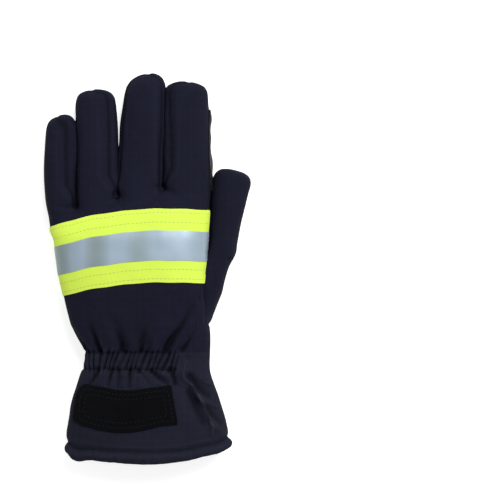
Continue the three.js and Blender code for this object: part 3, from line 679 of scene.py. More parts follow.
@dataclass(frozen=True)
class Hollow:
    """The glove's inside, which upright columns fill while the outside is traced.

    Attributes:
        side: A column's side, in metres.
        offset: How far the first column stands in from the frame's corner.
        least: The least height that counts as hollow.
        shared: The least height by which two neighbours open into one another.
        bite: How far a column reaches into the walls.
        overlap: Half a column's drawn width, as a share of its side.
    """

    side: float = 2.0 * MM
    offset: Vector = field(default_factory=lambda: Vector((0.37, 0.41, 0.0)) * MM)
    least: float = 1.0 * MM
    shared: float = 1.5 * MM
    bite: float = 0.6 * MM
    overlap: float = 0.52

    def build(self, solids: bpy.types.Mesh, mouth: Mouth) -> bpy.types.Mesh:
        """Fills the inside.

        Args:
            solids: All the solids in one mesh.
            mouth: The cuff's open end, past which the columns reach.

        Returns:
            The columns.
        """
        work = bmesh.new()
        work.from_mesh(solids)
        tree = BVHTree.FromBMesh(work)
        work.clear()
        gaps = self.all_gaps(tree)
        inside = self.joined(gaps)
        filled = {cell[:2] for cell in inside}
        low = CAD_BOX[0] + self.offset
        half = self.side * self.overlap
        for column, row, number in sorted(inside):
            bottom, top = gaps[column, row, number]
            across, along = low.x + column * self.side, low.y + row * self.side
            at_mouth = (column, row - 1) not in filled and along < mouth.end + mouth.rise_right
            front = along - half - (2 * self.side if at_mouth else 0.0)
            heights = (bottom - self.bite, top + self.bite)
            self.add_block(work, (across - half, across + half), (front, along + half), heights)
        mesh = bpy.data.meshes.new("hollow")
        work.to_mesh(mesh)
        work.free()
        log.info("the hollow has %d columns", len(inside))
        return mesh

    def all_gaps(self, tree: BVHTree) -> Gaps:
        """Where upright lines, one for each column, pass between two walls."""
        low, high = CAD_BOX[0] + self.offset, CAD_BOX[1]
        gaps: Gaps = {}
        for column in range(round((high.x - low.x) / self.side)):
            for row in range(round((high.y - low.y) / self.side)):
                across, along = low.x + column * self.side, low.y + row * self.side
                for gap in self.gaps_below(tree, Vector((across, along, high.z + self.side))):
                    gaps[column, row, len(gaps)] = gap
        return gaps

    def gaps_below(self, tree: BVHTree, place: Vector) -> Iterable[tuple[float, float]]:
        """The bottom and top of each gap between walls on the way straight down from a place."""
        depth = 0
        ceiling = None
        while True:
            hit, normal, _, _ = tree.ray_cast(place, Vector((0, 0, -1)))
            if hit is None:
                return
            if normal.z > 0:
                if depth == 0 and ceiling is not None and ceiling - hit.z > self.least:
                    yield hit.z, ceiling
                depth += 1
            else:
                depth -= 1
                ceiling = hit.z
            place.z = hit.z - 0.01 * MM

    def joined(self, gaps: Gaps) -> set[Cell]:
        """The gaps that open into the tallest one, from neighbour to neighbour."""
        stacks: dict[tuple[int, int], list[Cell]] = {}
        for cell in gaps:
            stacks.setdefault(cell[:2], []).append(cell)
        tallest = max(gaps, key=lambda cell: gaps[cell][1] - gaps[cell][0])
        found, front = {tallest}, [tallest]
        while front:
            here = front.pop()
            column, row, _ = here
            for beside in ((column + 1, row), (column - 1, row), (column, row + 1), (column, row - 1)):
                for other in stacks.get(beside, ()):
                    shared = min(gaps[here][1], gaps[other][1]) - max(gaps[here][0], gaps[other][0])
                    if other not in found and shared > self.shared:
                        found.add(other)
                        front.append(other)
        return found

    @staticmethod
    def add_block(work: bmesh.types.BMesh, across: Point, along: Point, upward: Point) -> None:
        """One block, made face by face because there are thousands of them.

        Args:
            work: The mesh that it is added to.
            across: Where it starts and ends across the glove.
            along: Where it starts and ends along the glove.
            upward: The heights of its bottom and top.
        """
        corners = [work.verts.new((x, y, z)) for x in across for y in along for z in upward]
        for side in ((0, 1, 3, 2), (4, 6, 7, 5), (0, 4, 5, 1), (2, 3, 7, 6), (0, 2, 6, 4), (1, 5, 7, 3)):
            work.faces.new([corners[corner] for corner in side])


@dataclass
class Skin:
    """The glove's whole outer cloth as one smooth surface, open at the mouth of the cuff.

    Attributes:
        voxel: The edge of a face, in metres.
        swell: What each solid grows by, so that neighbours meet.
        rounds: How long the facets are smoothed.
        valley: How deep a seam is drawn in.
        hem_valley: How much deeper the seam of the mouth's binding is drawn in.
        valley_wide: Half the width of a seam's valley.
        pucker: How high the small puckers along a seam stand.
        pucker_wide: How far from the seam they fade.
        unevenness: How high the cloth's large swells are.
        fold_depth: How strongly the folds are drawn.
        reach: How far from a panel its distance is still measured.
        hollow: The inside.
        mouth: The cuff's open end.
    """

    voxel: float = 1.05 * MM
    swell: float = 0.22 * MM
    rounds: int = 26
    valley: float = 0.85 * MM
    hem_valley: float = 1.7
    valley_wide: float = 1.6 * MM
    pucker: float = 0.32 * MM
    pucker_wide: float = 3.0 * MM
    unevenness: float = 0.55 * MM
    fold_depth: float = 1.2
    reach: float = 12.0 * MM
    hollow: Hollow = field(default_factory=Hollow)
    mouth: Mouth = field(default_factory=Mouth)
    mesh: bpy.types.Mesh = field(init=False)
    distance: np.ndarray = field(init=False)
    seam: np.ndarray = field(init=False)

    def build(self) -> None:
        """Makes the surface, measures it against the frame's pieces and shapes it."""
        self.mesh = self.outer_surface()
        log.info("skin has %d faces", len(self.mesh.polygons))
        self.smooth()
        self.refine_gathers()
        self.measure()
        self.shape()

    def grown_solids(self) -> bpy.types.Mesh:
        """All the cloth's solids in one mesh, each a little larger."""
        whole = bmesh.new()
        for name in SKIN_NODES:
            part = bmesh.new()
            part.from_mesh(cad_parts[name].data)
            bmesh.ops.remove_doubles(part, verts=part.verts, dist=1e-6)
            part.normal_update()
            for vert in part.verts:
                vert.co += vert.normal * self.swell
            stand_in = bpy.data.meshes.new(name)
            part.to_mesh(stand_in)
            part.free()
            whole.from_mesh(stand_in)
            bpy.data.meshes.remove(stand_in)
        mesh = bpy.data.meshes.new("solids")
        whole.to_mesh(mesh)
        whole.free()
        return mesh

    def outer_surface(self) -> bpy.types.Mesh:
        """The outside of the joined solids, open at the mouth."""
        size = self.voxel * 1.0
        solids = self.grown_solids()
        core = self.hollow.build(solids, self.mouth)
        whole = bmesh.new()
        whole.from_mesh(solids)
        whole.from_mesh(core)
        whole.to_mesh(solids)
        whole.free()
        bpy.data.meshes.remove(core)
        mesh = with_modifier(solids, "REMESH", mode="VOXEL", voxel_size=size, adaptivity=0.0)
        set_points(mesh, Smoother(mesh).without_facets(points_of(mesh), 2))
        shell = bmesh.new()
        shell.from_mesh(mesh)
        cut_away(shell, self.mouth.beyond)
        keep_largest(shell)
        shell.to_mesh(mesh)
        shell.free()
        return mesh

    def smooth(self) -> None:
        """Takes out the facets of the solids."""
        smoother = Smoother(self.mesh)
        rounds = self.rounds
        points = smoother.without_facets(points_of(self.mesh), rounds)
        points[:, 2] = np.maximum(points[:, 2], 0.0)
        set_points(self.mesh, points)

    def refine_gathers(self) -> None:
        """Gives the back of the wrist smaller faces, for the gathers."""
        low, high, above = -88.0 * MM, -46.0 * MM, 6.0 * MM
        work = bmesh.new()
        work.from_mesh(self.mesh)
        edges = {
            edge for face in work.faces
            if low < face.verts[0].co.y < high and face.verts[0].co.z > above
            for edge in face.edges
        }
        bmesh.ops.subdivide_edges(work, edges=list(edges), cuts=1, use_grid_fill=True)
        work.to_mesh(self.mesh)
        work.free()

    def measure(self) -> None:
        """Stores how far each point is from each panel, and how near a seam it is."""
        points = points_of(self.mesh)
        columns = []
        for nodes in PANELS.values():
            distance = np.full(len(points), FAR)
            for name in nodes:
                tree = search_tree(name)
                low, high = (np.array(corner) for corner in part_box(name))
                near = np.all((points > low - self.reach) & (points < high + self.reach), axis=1)
                for index in np.flatnonzero(near):
                    found = tree.find_nearest(Vector(points[index]), distance[index])[3]
                    if found is not None:
                        distance[index] = found
            columns.append(distance)
        self.distance = np.stack(columns, axis=1)
        self.show_strips(points)
        self.distance = Smoother(self.mesh).soften(self.distance, 3)
        for name, column in zip(PANELS, self.distance.T):
            set_attribute(self.mesh, f"to_{name}", column)
        ordered = np.sort(self.distance, axis=1)
        plain = smoothstep(20.0 * MM, 30.0 * MM, points[:, 0]) * smoothstep(6.0 * MM, 10.0 * MM, points[:, 2])
        no_seam = np.where(self.beside("wrist_band"), plain, 0.0) * 8.0 * MM
        self.seam = ordered[:, 1] - ordered[:, 0] + no_seam
        set_attribute(self.mesh, SEAM, self.seam / MM)

    def beside(self, panel: str) -> np.ndarray:
        """Which points have the panel among their two nearest."""
        return np.any(np.argsort(self.distance, axis=1)[:, :2] == COLUMN[panel], axis=1)

    def show_strips(self, points: np.ndarray) -> None:
        """Brings the strips between the fingers up over the fingers' backs, as far as they show."""
        for reach in STRIP_REACHES:
            low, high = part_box(reach.strip)
            share = np.clip((points[:, 1] - low.y) / (high.y - low.y), 0.0, 1.0)
            on_left = points[:, 0] < reach.gap * MM
            root = np.where(on_left, reach.left_root, reach.right_root)
            tip = np.where(on_left, reach.left_tip, reach.right_tip)
            shown = (root + (tip - root) * share) * smoothstep(0.06, 0.24, share)
            upper = smoothstep(8.0 * MM, 12.0 * MM, points[:, 2])
            self.distance[:, COLUMN[reach.strip]] -= shown * upper * MM

    def shape(self) -> None:
        """Moves the cloth out and in for its folds, gathers, seams and swells."""
        points, normals = points_of(self.mesh), normals_of(self.mesh)
        plan = points[:, :2]
        upward = smoothstep(-0.1, 0.5, normals[:, 2])
        folds = np.zeros(len(points))
        for fold in (*CUFF_FOLDS, *WRIST_CREASES, *HAND_FOLDS):
            folds += fold.height(plan) * upward * self.fold_depth
        gathers = Gathers()
        near_band = np.abs(points[:, 1] - gathers.middle) < 25.0 * MM
        folds[near_band] += gathers.height(points[near_band]) * upward[near_band]
        set_attribute(self.mesh, RELIEF, folds / MM)
        valley = np.where(self.beside("cuff_hem"), self.hem_valley, 1.0) * self.valley
        lift = folds - valley * np.exp(-((self.seam / self.valley_wide) ** 2))
        lift += self.pucker * noise_at(points, 3.2 * MM, 3.0) * np.exp(-self.seam / self.pucker_wide)
        large = noise_at(points, 26.0 * MM, 4.0) + 0.45 * noise_at(points, 11.0 * MM, 5.0)
        lift += self.unevenness * large * (0.25 + 0.75 * upward)
        hem = self.distance[:, COLUMN["cuff_hem"]] < self.distance[:, COLUMN["cuff"]]
        lift += np.where(hem, self.mouth.roll(points, self.seam), 0.0)
        sideways = sum(grab.shift(points) for grab in GRABS)
        points = points + normals * lift[:, None]
        points[:, :2] += sideways
        points = Smoother(self.mesh).soften(points, 1)
        points[:, 2] = np.maximum(points[:, 2], 0.0)
        set_points(self.mesh, points)

    def parted(self) -> dict[str, bpy.types.Mesh]:
        """Cuts the surface along its seams.

        Returns:
            A mesh for each panel's name.
        """
        work = bmesh.new()
        work.from_mesh(self.mesh)
        layers = [work.verts.layers.float[f"to_{name}"] for name in PANELS]
        label = dict(zip(work.verts, np.argmin(self.distance, axis=1).tolist()))
        mixed = {face for face in work.faces if len({label[vert] for vert in face.verts}) > 1}
        pairs = sorted({
            (first, second) for face in mixed for first in {label[vert] for vert in face.verts}
            for second in {label[vert] for vert in face.verts} if first < second
        })
        for first, second in pairs:
            crossing = [
                face for face in mixed if face.is_valid
                and {first, second} <= {label.get(vert, -1) for vert in face.verts}
            ]
            result = cut_faces(work, crossing, layers=(layers[first], layers[second]))
            mixed |= {item for item in result["geom"] if isinstance(item, bmesh.types.BMFace)}
        whole = bpy.data.meshes.new("parted")
        work.to_mesh(whole)
        work.free()
        owner = self.face_owners(whole)
        whole.polygons.foreach_set("material_index", owner)
        meshes = {}
        for name, index in COLUMN.items():
            part = bmesh.new()
            part.from_mesh(whole)
            others = [face for face in part.faces if face.material_index != index]
            bmesh.ops.delete(part, geom=others, context="FACES")
            for face in part.faces:
                face.material_index = 0
            meshes[name] = bpy.data.meshes.new(name)
            part.to_mesh(meshes[name])
            part.free()
        bpy.data.meshes.remove(whole)
        return meshes

    @staticmethod
    def face_owners(whole: bpy.types.Mesh) -> np.ndarray:
        """Which panel each face is nearest to, as its place in the list."""
        corners = np.empty(len(whole.loops), np.int32)
        whole.loops.foreach_get("vertex_index", corners)
        starts = np.empty(len(whole.polygons), np.int32)
        whole.polygons.foreach_get("loop_start", starts)
        sums = []
        for name in PANELS:
            values = np.empty(len(whole.vertices), np.float32)
            whole.attributes[f"to_{name}"].data.foreach_get("value", values)
            sums.append(np.add.reduceat(values[corners], starts))
        return np.argmin(np.stack(sums), axis=0).astype(np.int32)

    def excerpt(self, inside: Choice) -> bmesh.types.BMesh:
        """A copy of the skin with only the points that are inside."""
        work = bmesh.new()
        work.from_mesh(self.mesh)
        work.verts.ensure_lookup_table()
        wanted = inside(points_of(self.mesh), normals_of(self.mesh))
        outside = [vert for vert in work.verts if not wanted[vert.index]]
        bmesh.ops.delete(work, geom=outside, context="VERTS")
        return work

    def layer(self, inside: Choice, bounds: Sequence[Field], rise: float, thickness: float,
              softness: int) -> tuple[bpy.types.Mesh, bmesh.types.BMesh]:
        """A thin layer of another cloth that lies on the skin.

        Args:
            inside: Which points, given with their normals, may belong to it before it is cut to size.
            bounds: Fields that are below zero inside its outline.
            rise: How far its lower side lies above the skin.
            thickness: How thick it is.
            softness: How many rounds its surface is smoothed.

        Returns:
            The layer as a mesh, and its upper surface alone.
        """
        work = self.excerpt(inside)
        for bound in bounds:
            cut_away(work, bound)
        keep_largest(work)
        mesh = bpy.data.meshes.new("layer")
        work.to_mesh(mesh)
        smoother = Smoother(mesh)
        points = smoother.without_facets(points_of(mesh), softness)
        set_points(mesh, points + normals_of(mesh) * (rise + thickness))
        work.clear()
        work.from_mesh(mesh)
        mesh = with_modifier(mesh, "SOLIDIFY", thickness=thickness, offset=-1.0, use_rim=True)
        return mesh, work


def keep_largest(work: bmesh.types.BMesh) -> None:
    """Deletes all but the largest connected stretch of faces.

    Args:
        work: The mesh to change.
    """
    left = set(work.faces)
    best: set[bmesh.types.BMFace] = set()
    while left:
        start = left.pop()
        found = {start}
        front = [start]
        while front:
            for edge in front.pop().edges:
                for other in edge.link_faces:
                    if other in left:
                        left.discard(other)
                        found.add(other)
                        front.append(other)
        best = max(best, found, key=len)
    bmesh.ops.delete(work, geom=[face for face in work.faces if face not in best], context="FACES")


class NodeSheet:
    """A node tree that is filled in order, with each node linked as it is placed."""

    def __init__(self, tree: bpy.types.NodeTree) -> None:
        """Empties the tree.

        Args:
            tree: The tree to fill.
        """
        self.tree = tree
        tree.nodes.clear()

    def feed(self, node: bpy.types.Node, key: str | int, value: object) -> None:
        """Links a socket to one of the node's inputs, or sets the input's own value."""
        if isinstance(value, bpy.types.NodeSocket):
            self.tree.links.new(value, node.inputs[key])
        else:
            node.inputs[key].default_value = value

    def add(self, kind: str, inputs: dict[str | int, object] | None = None,
            **settings: object) -> bpy.types.Node:
        """Places a node.

        Args:
            kind: The node's type.
            inputs: Values or sockets for its inputs, by name or place.
            **settings: The node's own settings.

        Returns:
            The node.
        """
        node = self.tree.nodes.new(kind)
        for key, value in settings.items():
            setattr(node, key, value)
        for key, value in (inputs or {}).items():
            self.feed(node, key, value)
        return node

    def math(self, operation: str, first: object, second: object = 0.0,
             clamp: bool = False) -> bpy.types.NodeSocket:
        """The result of a Math node."""
        node = self.add("ShaderNodeMath", {0: first, 1: second}, operation=operation, use_clamp=clamp)
        return node.outputs[0]

    def times(self, first: object, second: object) -> bpy.types.NodeSocket:
        """The product of two values."""
        return self.math("MULTIPLY", first, second)

    def mix(self, share: object, first: object, second: object) -> bpy.types.NodeSocket:
        """The result of a Mix node on two colours."""
        node = self.add("ShaderNodeMix", {0: share, 6: first, 7: second}, data_type="RGBA")
        return node.outputs[2]

    def tint(self, ground: object, mask: bpy.types.NodeSocket, strength: float,
             colour: object) -> bpy.types.NodeSocket:
        """The ground with a colour over it where the mask is, as strongly as given."""
        return self.mix(self.times(mask, strength), ground, colour)

    def ramp(self, value: object, low: float, high: float, to_low: float = 0.0,
             to_high: float = 1.0) -> bpy.types.NodeSocket:
        """The value brought from one range to another, and kept within it."""
        node = self.add("ShaderNodeMapRange", {0: value, 1: low, 2: high, 3: to_low, 4: to_high}, clamp=True)
        return node.outputs[0]

    def noise(self, place: object, scale: object, detail: float) -> bpy.types.NodeSocket:
        """The value of a Noise Texture."""
        inputs = {"Vector": place, "Scale": scale, "Detail": detail}
        return self.add("ShaderNodeTexNoise", inputs).outputs[0]

    def bump(self, shader: bpy.types.Node, height: object, strength: float, distance: float) -> None:
        """Gives the shader a relief."""
        inputs = {"Strength": strength, "Distance": distance, "Height": height}
        self.feed(shader, "Normal", self.add("ShaderNodeBump", inputs).outputs[0])


def new_group(name: str, inputs: dict[str, float],
              outputs: Sequence[str]) -> tuple[NodeSheet, bpy.types.Node, bpy.types.Node]:
    """An empty shader group with named number sockets.

    Args:
        name: The group's name.
        inputs: Its inputs with their usual values.
        outputs: Its outputs.

    Returns:
        The sheet to fill, the input node and the output node.
    """
    tree = bpy.data.node_groups.new(name, "ShaderNodeTree")
    for key, value in inputs.items():
        socket = tree.interface.new_socket(name=key, in_out="INPUT", socket_type="NodeSocketFloat")
        socket.default_value = value
    for key in outputs:
        tree.interface.new_socket(name=key, in_out="OUTPUT", socket_type="NodeSocketFloat")
    sheet = NodeSheet(tree)
    return sheet, sheet.add("NodeGroupInput"), sheet.add("NodeGroupOutput")


class SharedEffects:
    """The shader groups that several finishes use."""

    def __init__(self) -> None:
        """Builds each group once."""
        self.weave = self.build_weave()
        self.mottle = self.build_mottle()
        self.seam_shade = self.build_seam_shade()

    @staticmethod
    def build_weave() -> bpy.types.NodeTree:
        """Crossing threads on whichever plane the cloth faces, with a stronger thread in every few."""
        sheet, given, result = new_group(
            "weave",
            {"Threads": 1400.0, "Grid": 190.0, "Grid Depth": 0.5, "Ribs": 610.0},
            ("Height", "Thread", "Rib"),
        )
        place = sheet.add("ShaderNodeTexCoord")
        part = sheet.add("ShaderNodeSeparateXYZ", {0: place.outputs["Object"]})
        facing = sheet.add("ShaderNodeSeparateXYZ", {0: place.outputs["Normal"]})

        def wave(axis: int, rate: bpy.types.NodeSocket) -> bpy.types.NodeSocket:
            """A sine along one axis."""
            return sheet.math("SINE", sheet.times(part.outputs[axis], sheet.times(rate, 2 * math.pi)))

        threads = [wave(axis, given.outputs["Threads"]) for axis in range(3)]
        strong = [sheet.ramp(wave(axis, given.outputs["Grid"]), 0.82, 1.0) for axis in range(3)]
        heights, grids = [], []
        for flat, first, second in ((2, 0, 1), (0, 1, 2), (1, 0, 2)):
            weight = sheet.ramp(sheet.math("ABSOLUTE", facing.outputs[flat]), 0.45, 0.75)
            heights.append(sheet.times(sheet.times(threads[first], threads[second]), weight))
            grids.append(sheet.times(sheet.math("MAXIMUM", strong[first], strong[second]), weight))
        height = sheet.math("ADD", sheet.math("ADD", heights[0], heights[1]), heights[2])
        grid = sheet.math("MAXIMUM", sheet.math("MAXIMUM", grids[0], grids[1]), grids[2])
        grid = sheet.times(grid, given.outputs["Grid Depth"])
        sheet.feed(result, "Height", sheet.math("ADD", height, grid))
        sheet.feed(result, "Thread", sheet.math("ADD", sheet.ramp(height, -1.0, 1.0), sheet.times(grid, 0.5)))
        rib = sheet.ramp(wave(0, given.outputs["Ribs"]), -0.6, 1.0)
        upward = sheet.ramp(sheet.math("ABSOLUTE", facing.outputs[2]), 0.3, 0.7)
        sheet.feed(result, "Rib", sheet.times(rib, upward))
        return sheet.tree

    @staticmethod
    def build_mottle() -> bpy.types.NodeTree:
        """Uneven dye and light handling marks at three scales."""
        sheet, given, result = new_group(
            "mottle", {"Large": 28.0, "Small": 260.0, "Fibre": 2200.0}, ("Patches", "Fuzz"),
        )
        place = sheet.add("ShaderNodeTexCoord").outputs["Object"]
        large = sheet.times(sheet.noise(place, given.outputs["Large"], 4.0), 0.6)
        small = sheet.times(sheet.noise(place, given.outputs["Small"], 3.0), 0.4)
        fibre = sheet.noise(place, given.outputs["Fibre"], 2.0)
        sheet.feed(result, "Patches", sheet.ramp(sheet.math("ADD", large, small), 0.36, 0.64))
        sheet.feed(result, "Fuzz", sheet.ramp(fibre, 0.3, 0.7))
        return sheet.tree

    @staticmethod
    def build_seam_shade() -> bpy.types.NodeTree:
        """Painted shade in seams (with some grime) and in the pits of folds; painted highlight on the puffed
        rolls beside seams (with some rub wear) and on fold ridges.
        """
        sheet, given, result = new_group(
            "seam_shade", {"Dark": 1.1, "RollMiddle": 3.4}, ("SeamShadeAndGrime", "RollHighlightAndWear", "RidgeHighlight", "PitShade"),
        )
        relief = sheet.add("ShaderNodeAttribute", attribute_name=RELIEF).outputs["Fac"]
        # Painted highlight on fold ridges and painted shade in their pits, read from how far the folds lift
        # the cloth.
        sheet.feed(result, "RidgeHighlight", sheet.ramp(relief, 0.9, 2.3))
        sheet.feed(result, "PitShade", sheet.ramp(relief, -0.35, -1.6))
        seam = sheet.add("ShaderNodeAttribute", attribute_name=SEAM).outputs["Fac"]
        # Painted shade, with some grime, in the seams' valleys.
        from_seam = sheet.ramp(sheet.math("DIVIDE", seam, given.outputs["Dark"]), 0.0, 1.0)
        sheet.feed(result, "SeamShadeAndGrime", sheet.math("SUBTRACT", 1.0, from_seam))
        # Painted highlight on the puffed roll a few millimetres beside each seam, with some rub wear.
        off_roll = sheet.math("ABSOLUTE", sheet.math("SUBTRACT", seam, given.outputs["RollMiddle"]))
        from_roll = sheet.ramp(sheet.math("DIVIDE", off_roll, 1.8), 0.0, 1.0)
        sheet.feed(result, "RollHighlightAndWear", sheet.math("SUBTRACT", 1.0, from_roll))
        return sheet.tree


Colour = tuple[float, float, float]


def rgba(colour: Colour, gain: float = 1.0) -> tuple[float, float, float, float]:
    """The colour with its alpha, brighter or darker by the gain."""
    return (colour[0] * gain, colour[1] * gain, colour[2] * gain, 1.0)


@dataclass(frozen=True)
class Finish:
    """What every finish has.

    Attributes:
        name: The material's name.
        colour: Its colour, in linear light.
        roughness: How matt it is.
        specular: How strongly it shines.
    """

    name: str
    colour: Colour
    roughness: float
    specular: float = 0.2

    def start(
        self, effects: SharedEffects,
    ) -> tuple[bpy.types.Material, NodeSheet, bpy.types.Node, bpy.types.Node]:
        """A new material with its shader and its mottle.

        Args:
            effects: The shared shader groups.

        Returns:
            The material, its sheet of nodes, the shader's node and the mottle's node.
        """
        material = bpy.data.materials.new(self.name)
        material.use_nodes = True
        sheet = NodeSheet(material.node_tree)
        output = sheet.add("ShaderNodeOutputMaterial")
        shader = sheet.add(
            "ShaderNodeBsdfPrincipled", {"Roughness": self.roughness, "Specular IOR Level": self.specular},
        )
        sheet.feed(output, "Surface", shader.outputs[0])
        return material, sheet, shader, sheet.add("ShaderNodeGroup", node_tree=effects.mottle)

    def uneven(self, sheet: NodeSheet, mottle: bpy.types.Node, spread: float) -> bpy.types.NodeSocket:
        """The roughness, a little more or less from patch to patch."""
        low, high = self.roughness - spread, self.roughness + spread
        return sheet.ramp(mottle.outputs["Patches"], 0.0, 1.0, low, high)

    def material(self, effects: SharedEffects) -> bpy.types.Material:
        """The finish as a material."""
        raise NotImplementedError


@dataclass(frozen=True)
class WovenCloth(Finish):
    """Matt aramid cloth.

    Attributes:
        wear_and_highlight: Its paler colour: real for its lighter threads and worn ribs, and a painted
            highlight where it lies on seam rolls and fold ridges.
        threads: Threads to the metre.
        grid: Stronger threads to the metre.
        relief: How strongly the threads stand out.
    """

    specular: float = 0.06
    wear_and_highlight: Colour = (0.02, 0.021, 0.036)
    threads: float = 1250.0
    grid: float = 190.0
    relief: float = 0.35

    def material(self, effects: SharedEffects) -> bpy.types.Material:
        """The finish as a material."""
        material, sheet, shader, mottle = self.start(effects)
        weave = sheet.add(
            "ShaderNodeGroup", {"Threads": self.threads, "Grid": self.grid}, node_tree=effects.weave,
        )
        seam = sheet.add("ShaderNodeGroup", node_tree=effects.seam_shade)
        # The dark colour is the painted shade; the paler colour is real thread and wear, and is also used for
        # the painted highlights.
        dark, wear_and_highlight = rgba(self.colour, 0.25), rgba(self.wear_and_highlight)
        ground = sheet.mix(mottle.outputs["Patches"], rgba(self.colour, 0.84), rgba(self.colour, 1.16))
        ground = sheet.tint(ground, weave.outputs["Thread"], 0.34, wear_and_highlight)
        worn = sheet.times(weave.outputs["Rib"], sheet.ramp(mottle.outputs["Patches"], 0.2, 0.9, 0.1, 0.3))
        ground = sheet.mix(worn, ground, wear_and_highlight)
        # Painted highlight on the puffed rolls beside seams, with some rub wear.
        ground = sheet.tint(ground, seam.outputs["RollHighlightAndWear"], 0.16, wear_and_highlight)
        # Painted shade, with some grime, in the seams.
        ground = sheet.tint(ground, seam.outputs["SeamShadeAndGrime"], 0.6, dark)
        # Painted highlight on fold ridges.
        ground = sheet.tint(ground, seam.outputs["RidgeHighlight"], 0.6, rgba(self.wear_and_highlight, 1.45))
        # Painted shade in the pits of folds.
        ground = sheet.tint(ground, seam.outputs["PitShade"], 0.75, dark)
        sheet.feed(shader, "Base Color", ground)
        sheet.feed(shader, "Roughness", self.uneven(sheet, mottle, 0.06))
        height = sheet.math("ADD", weave.outputs["Height"], sheet.times(mottle.outputs["Fuzz"], 0.7))
        sheet.bump(shader, height, self.relief, 0.00012)
        return material


@dataclass(frozen=True)
class Leather(Finish):
    """Black palm leather with a pebbled grain.

    Attributes:
        grain: Pebbles to the metre.
    """

    grain: float = 900.0

    def material(self, effects: SharedEffects) -> bpy.types.Material:
        """The finish as a material."""
        material, sheet, shader, mottle = self.start(effects)
        seam = sheet.add("ShaderNodeGroup", node_tree=effects.seam_shade)
        place = sheet.add("ShaderNodeTexCoord").outputs["Object"]
        pebbles = sheet.add(
            "ShaderNodeTexVoronoi", {"Vector": place, "Scale": self.grain}, feature="DISTANCE_TO_EDGE",
        )
        cell = sheet.ramp(pebbles.outputs["Distance"], 0.0, 0.25)
        ground = sheet.mix(mottle.outputs["Patches"], rgba(self.colour, 0.8), rgba(self.colour, 1.3))
        ground = sheet.mix(sheet.times(cell, 0.5), rgba(self.colour, 0.5), ground)
        # Painted highlight on the puffed rolls beside seams, with some rub wear.
        ground = sheet.tint(ground, seam.outputs["RollHighlightAndWear"], 0.25, rgba(self.colour, 2.0))
        sheet.feed(shader, "Base Color", ground)
        sheet.feed(shader, "Roughness", self.uneven(sheet, mottle, 0.08))
        height = sheet.math("ADD", cell, sheet.times(mottle.outputs["Fuzz"], 0.3))
        sheet.bump(shader, height, 0.5, 0.0002)
        return material


@dataclass(frozen=True)
class FluorescentTape(Finish):
    """Fluorescent woven tape with a painted glow: a steady emission in its own colour, whatever light falls
    on it, stands in for its fluorescence.

    Attributes:
        glow: How strongly it glows.
        threads: Threads to the metre.
    """

    glow: float = 0.06
    threads: float = 1100.0

    def material(self, effects: SharedEffects) -> bpy.types.Material:
        """The finish as a material."""
        material, sheet, shader, mottle = self.start(effects)
        weave = sheet.add(
            "ShaderNodeGroup", {"Threads": self.threads, "Grid Depth": 0.0}, node_tree=effects.weave,
        )
        red, green, blue = self.colour
        shade = rgba((red * 0.86, green * 0.9, blue * 1.2))
        ground = sheet.mix(mottle.outputs["Patches"], rgba(self.colour, 0.97), rgba(self.colour, 1.02))
        ground = sheet.tint(ground, weave.outputs["Thread"], 0.22, shade)
        sheet.feed(shader, "Base Color", ground)
        # Painted glow: a steady emission stands in for the tape's fluorescence.
        sheet.feed(shader, "Emission Color", ground)
        sheet.feed(shader, "Emission Strength", self.glow)
        sheet.bump(shader, sheet.math("ADD", weave.outputs["Height"], mottle.outputs["Fuzz"]), 0.3, 0.0001)
        return material


@dataclass(frozen=True)
class ReflectiveFilm(Finish):
    """Silver film of fine glass beads, with painted reflection bands: waves of a darker colour that stand in
    for the light and dark reflections of a film on padding.

    Attributes:
        dim_reflection: The colour of the painted reflection's darker waves.
        wave: From one darker wave to the next, in metres.
        dim_band_at: Where the first one lies across the glove.
        metallic: How much it shines as metal does.
    """

    specular: float = 0.5
    dim_reflection: Colour = (0.19, 0.245, 0.245)
    wave: float = 30.0 * MM
    dim_band_at: float = -65.0 * MM
    metallic: float = 0.25

    def material(self, effects: SharedEffects) -> bpy.types.Material:
        """The finish as a material."""
        material, sheet, shader, mottle = self.start(effects)
        place = sheet.add("ShaderNodeTexCoord").outputs["Object"]
        stretched = sheet.add("ShaderNodeMapping", {"Vector": place, "Scale": (48.0, 9.0, 20.0)})
        blotches = sheet.ramp(sheet.noise(stretched.outputs[0], 1.0, 2.0), 0.3, 0.7, -0.18, 0.22)
        across = sheet.add("ShaderNodeSeparateXYZ", {0: place}).outputs[0]
        # Painted reflection bands: darker waves across the film, strongest towards the hand's outer end,
        # stand in for the light and dark reflections of the film on its padding.
        turn = sheet.times(sheet.math("SUBTRACT", across, self.dim_band_at), 2 * math.pi / self.wave)
        fading = sheet.ramp(across, -40.0 * MM, 25.0 * MM, 1.0, 0.15)
        dim_bands = sheet.times(sheet.ramp(sheet.math("COSINE", turn), -0.7, 1.0), fading)
        share = sheet.math("ADD", dim_bands, blotches, clamp=True)
        ground = sheet.mix(share, rgba(self.colour), rgba(self.dim_reflection))
        ground = sheet.tint(ground, mottle.outputs["Fuzz"], 0.12, rgba(self.colour, 0.75))
        sheet.feed(shader, "Base Color", ground)
        sheet.feed(shader, "Roughness", self.uneven(sheet, mottle, 0.07))
        sheet.feed(shader, "Metallic", self.metallic)
        sheet.bump(shader, mottle.outputs["Fuzz"], 0.2, 0.00005)
        return material


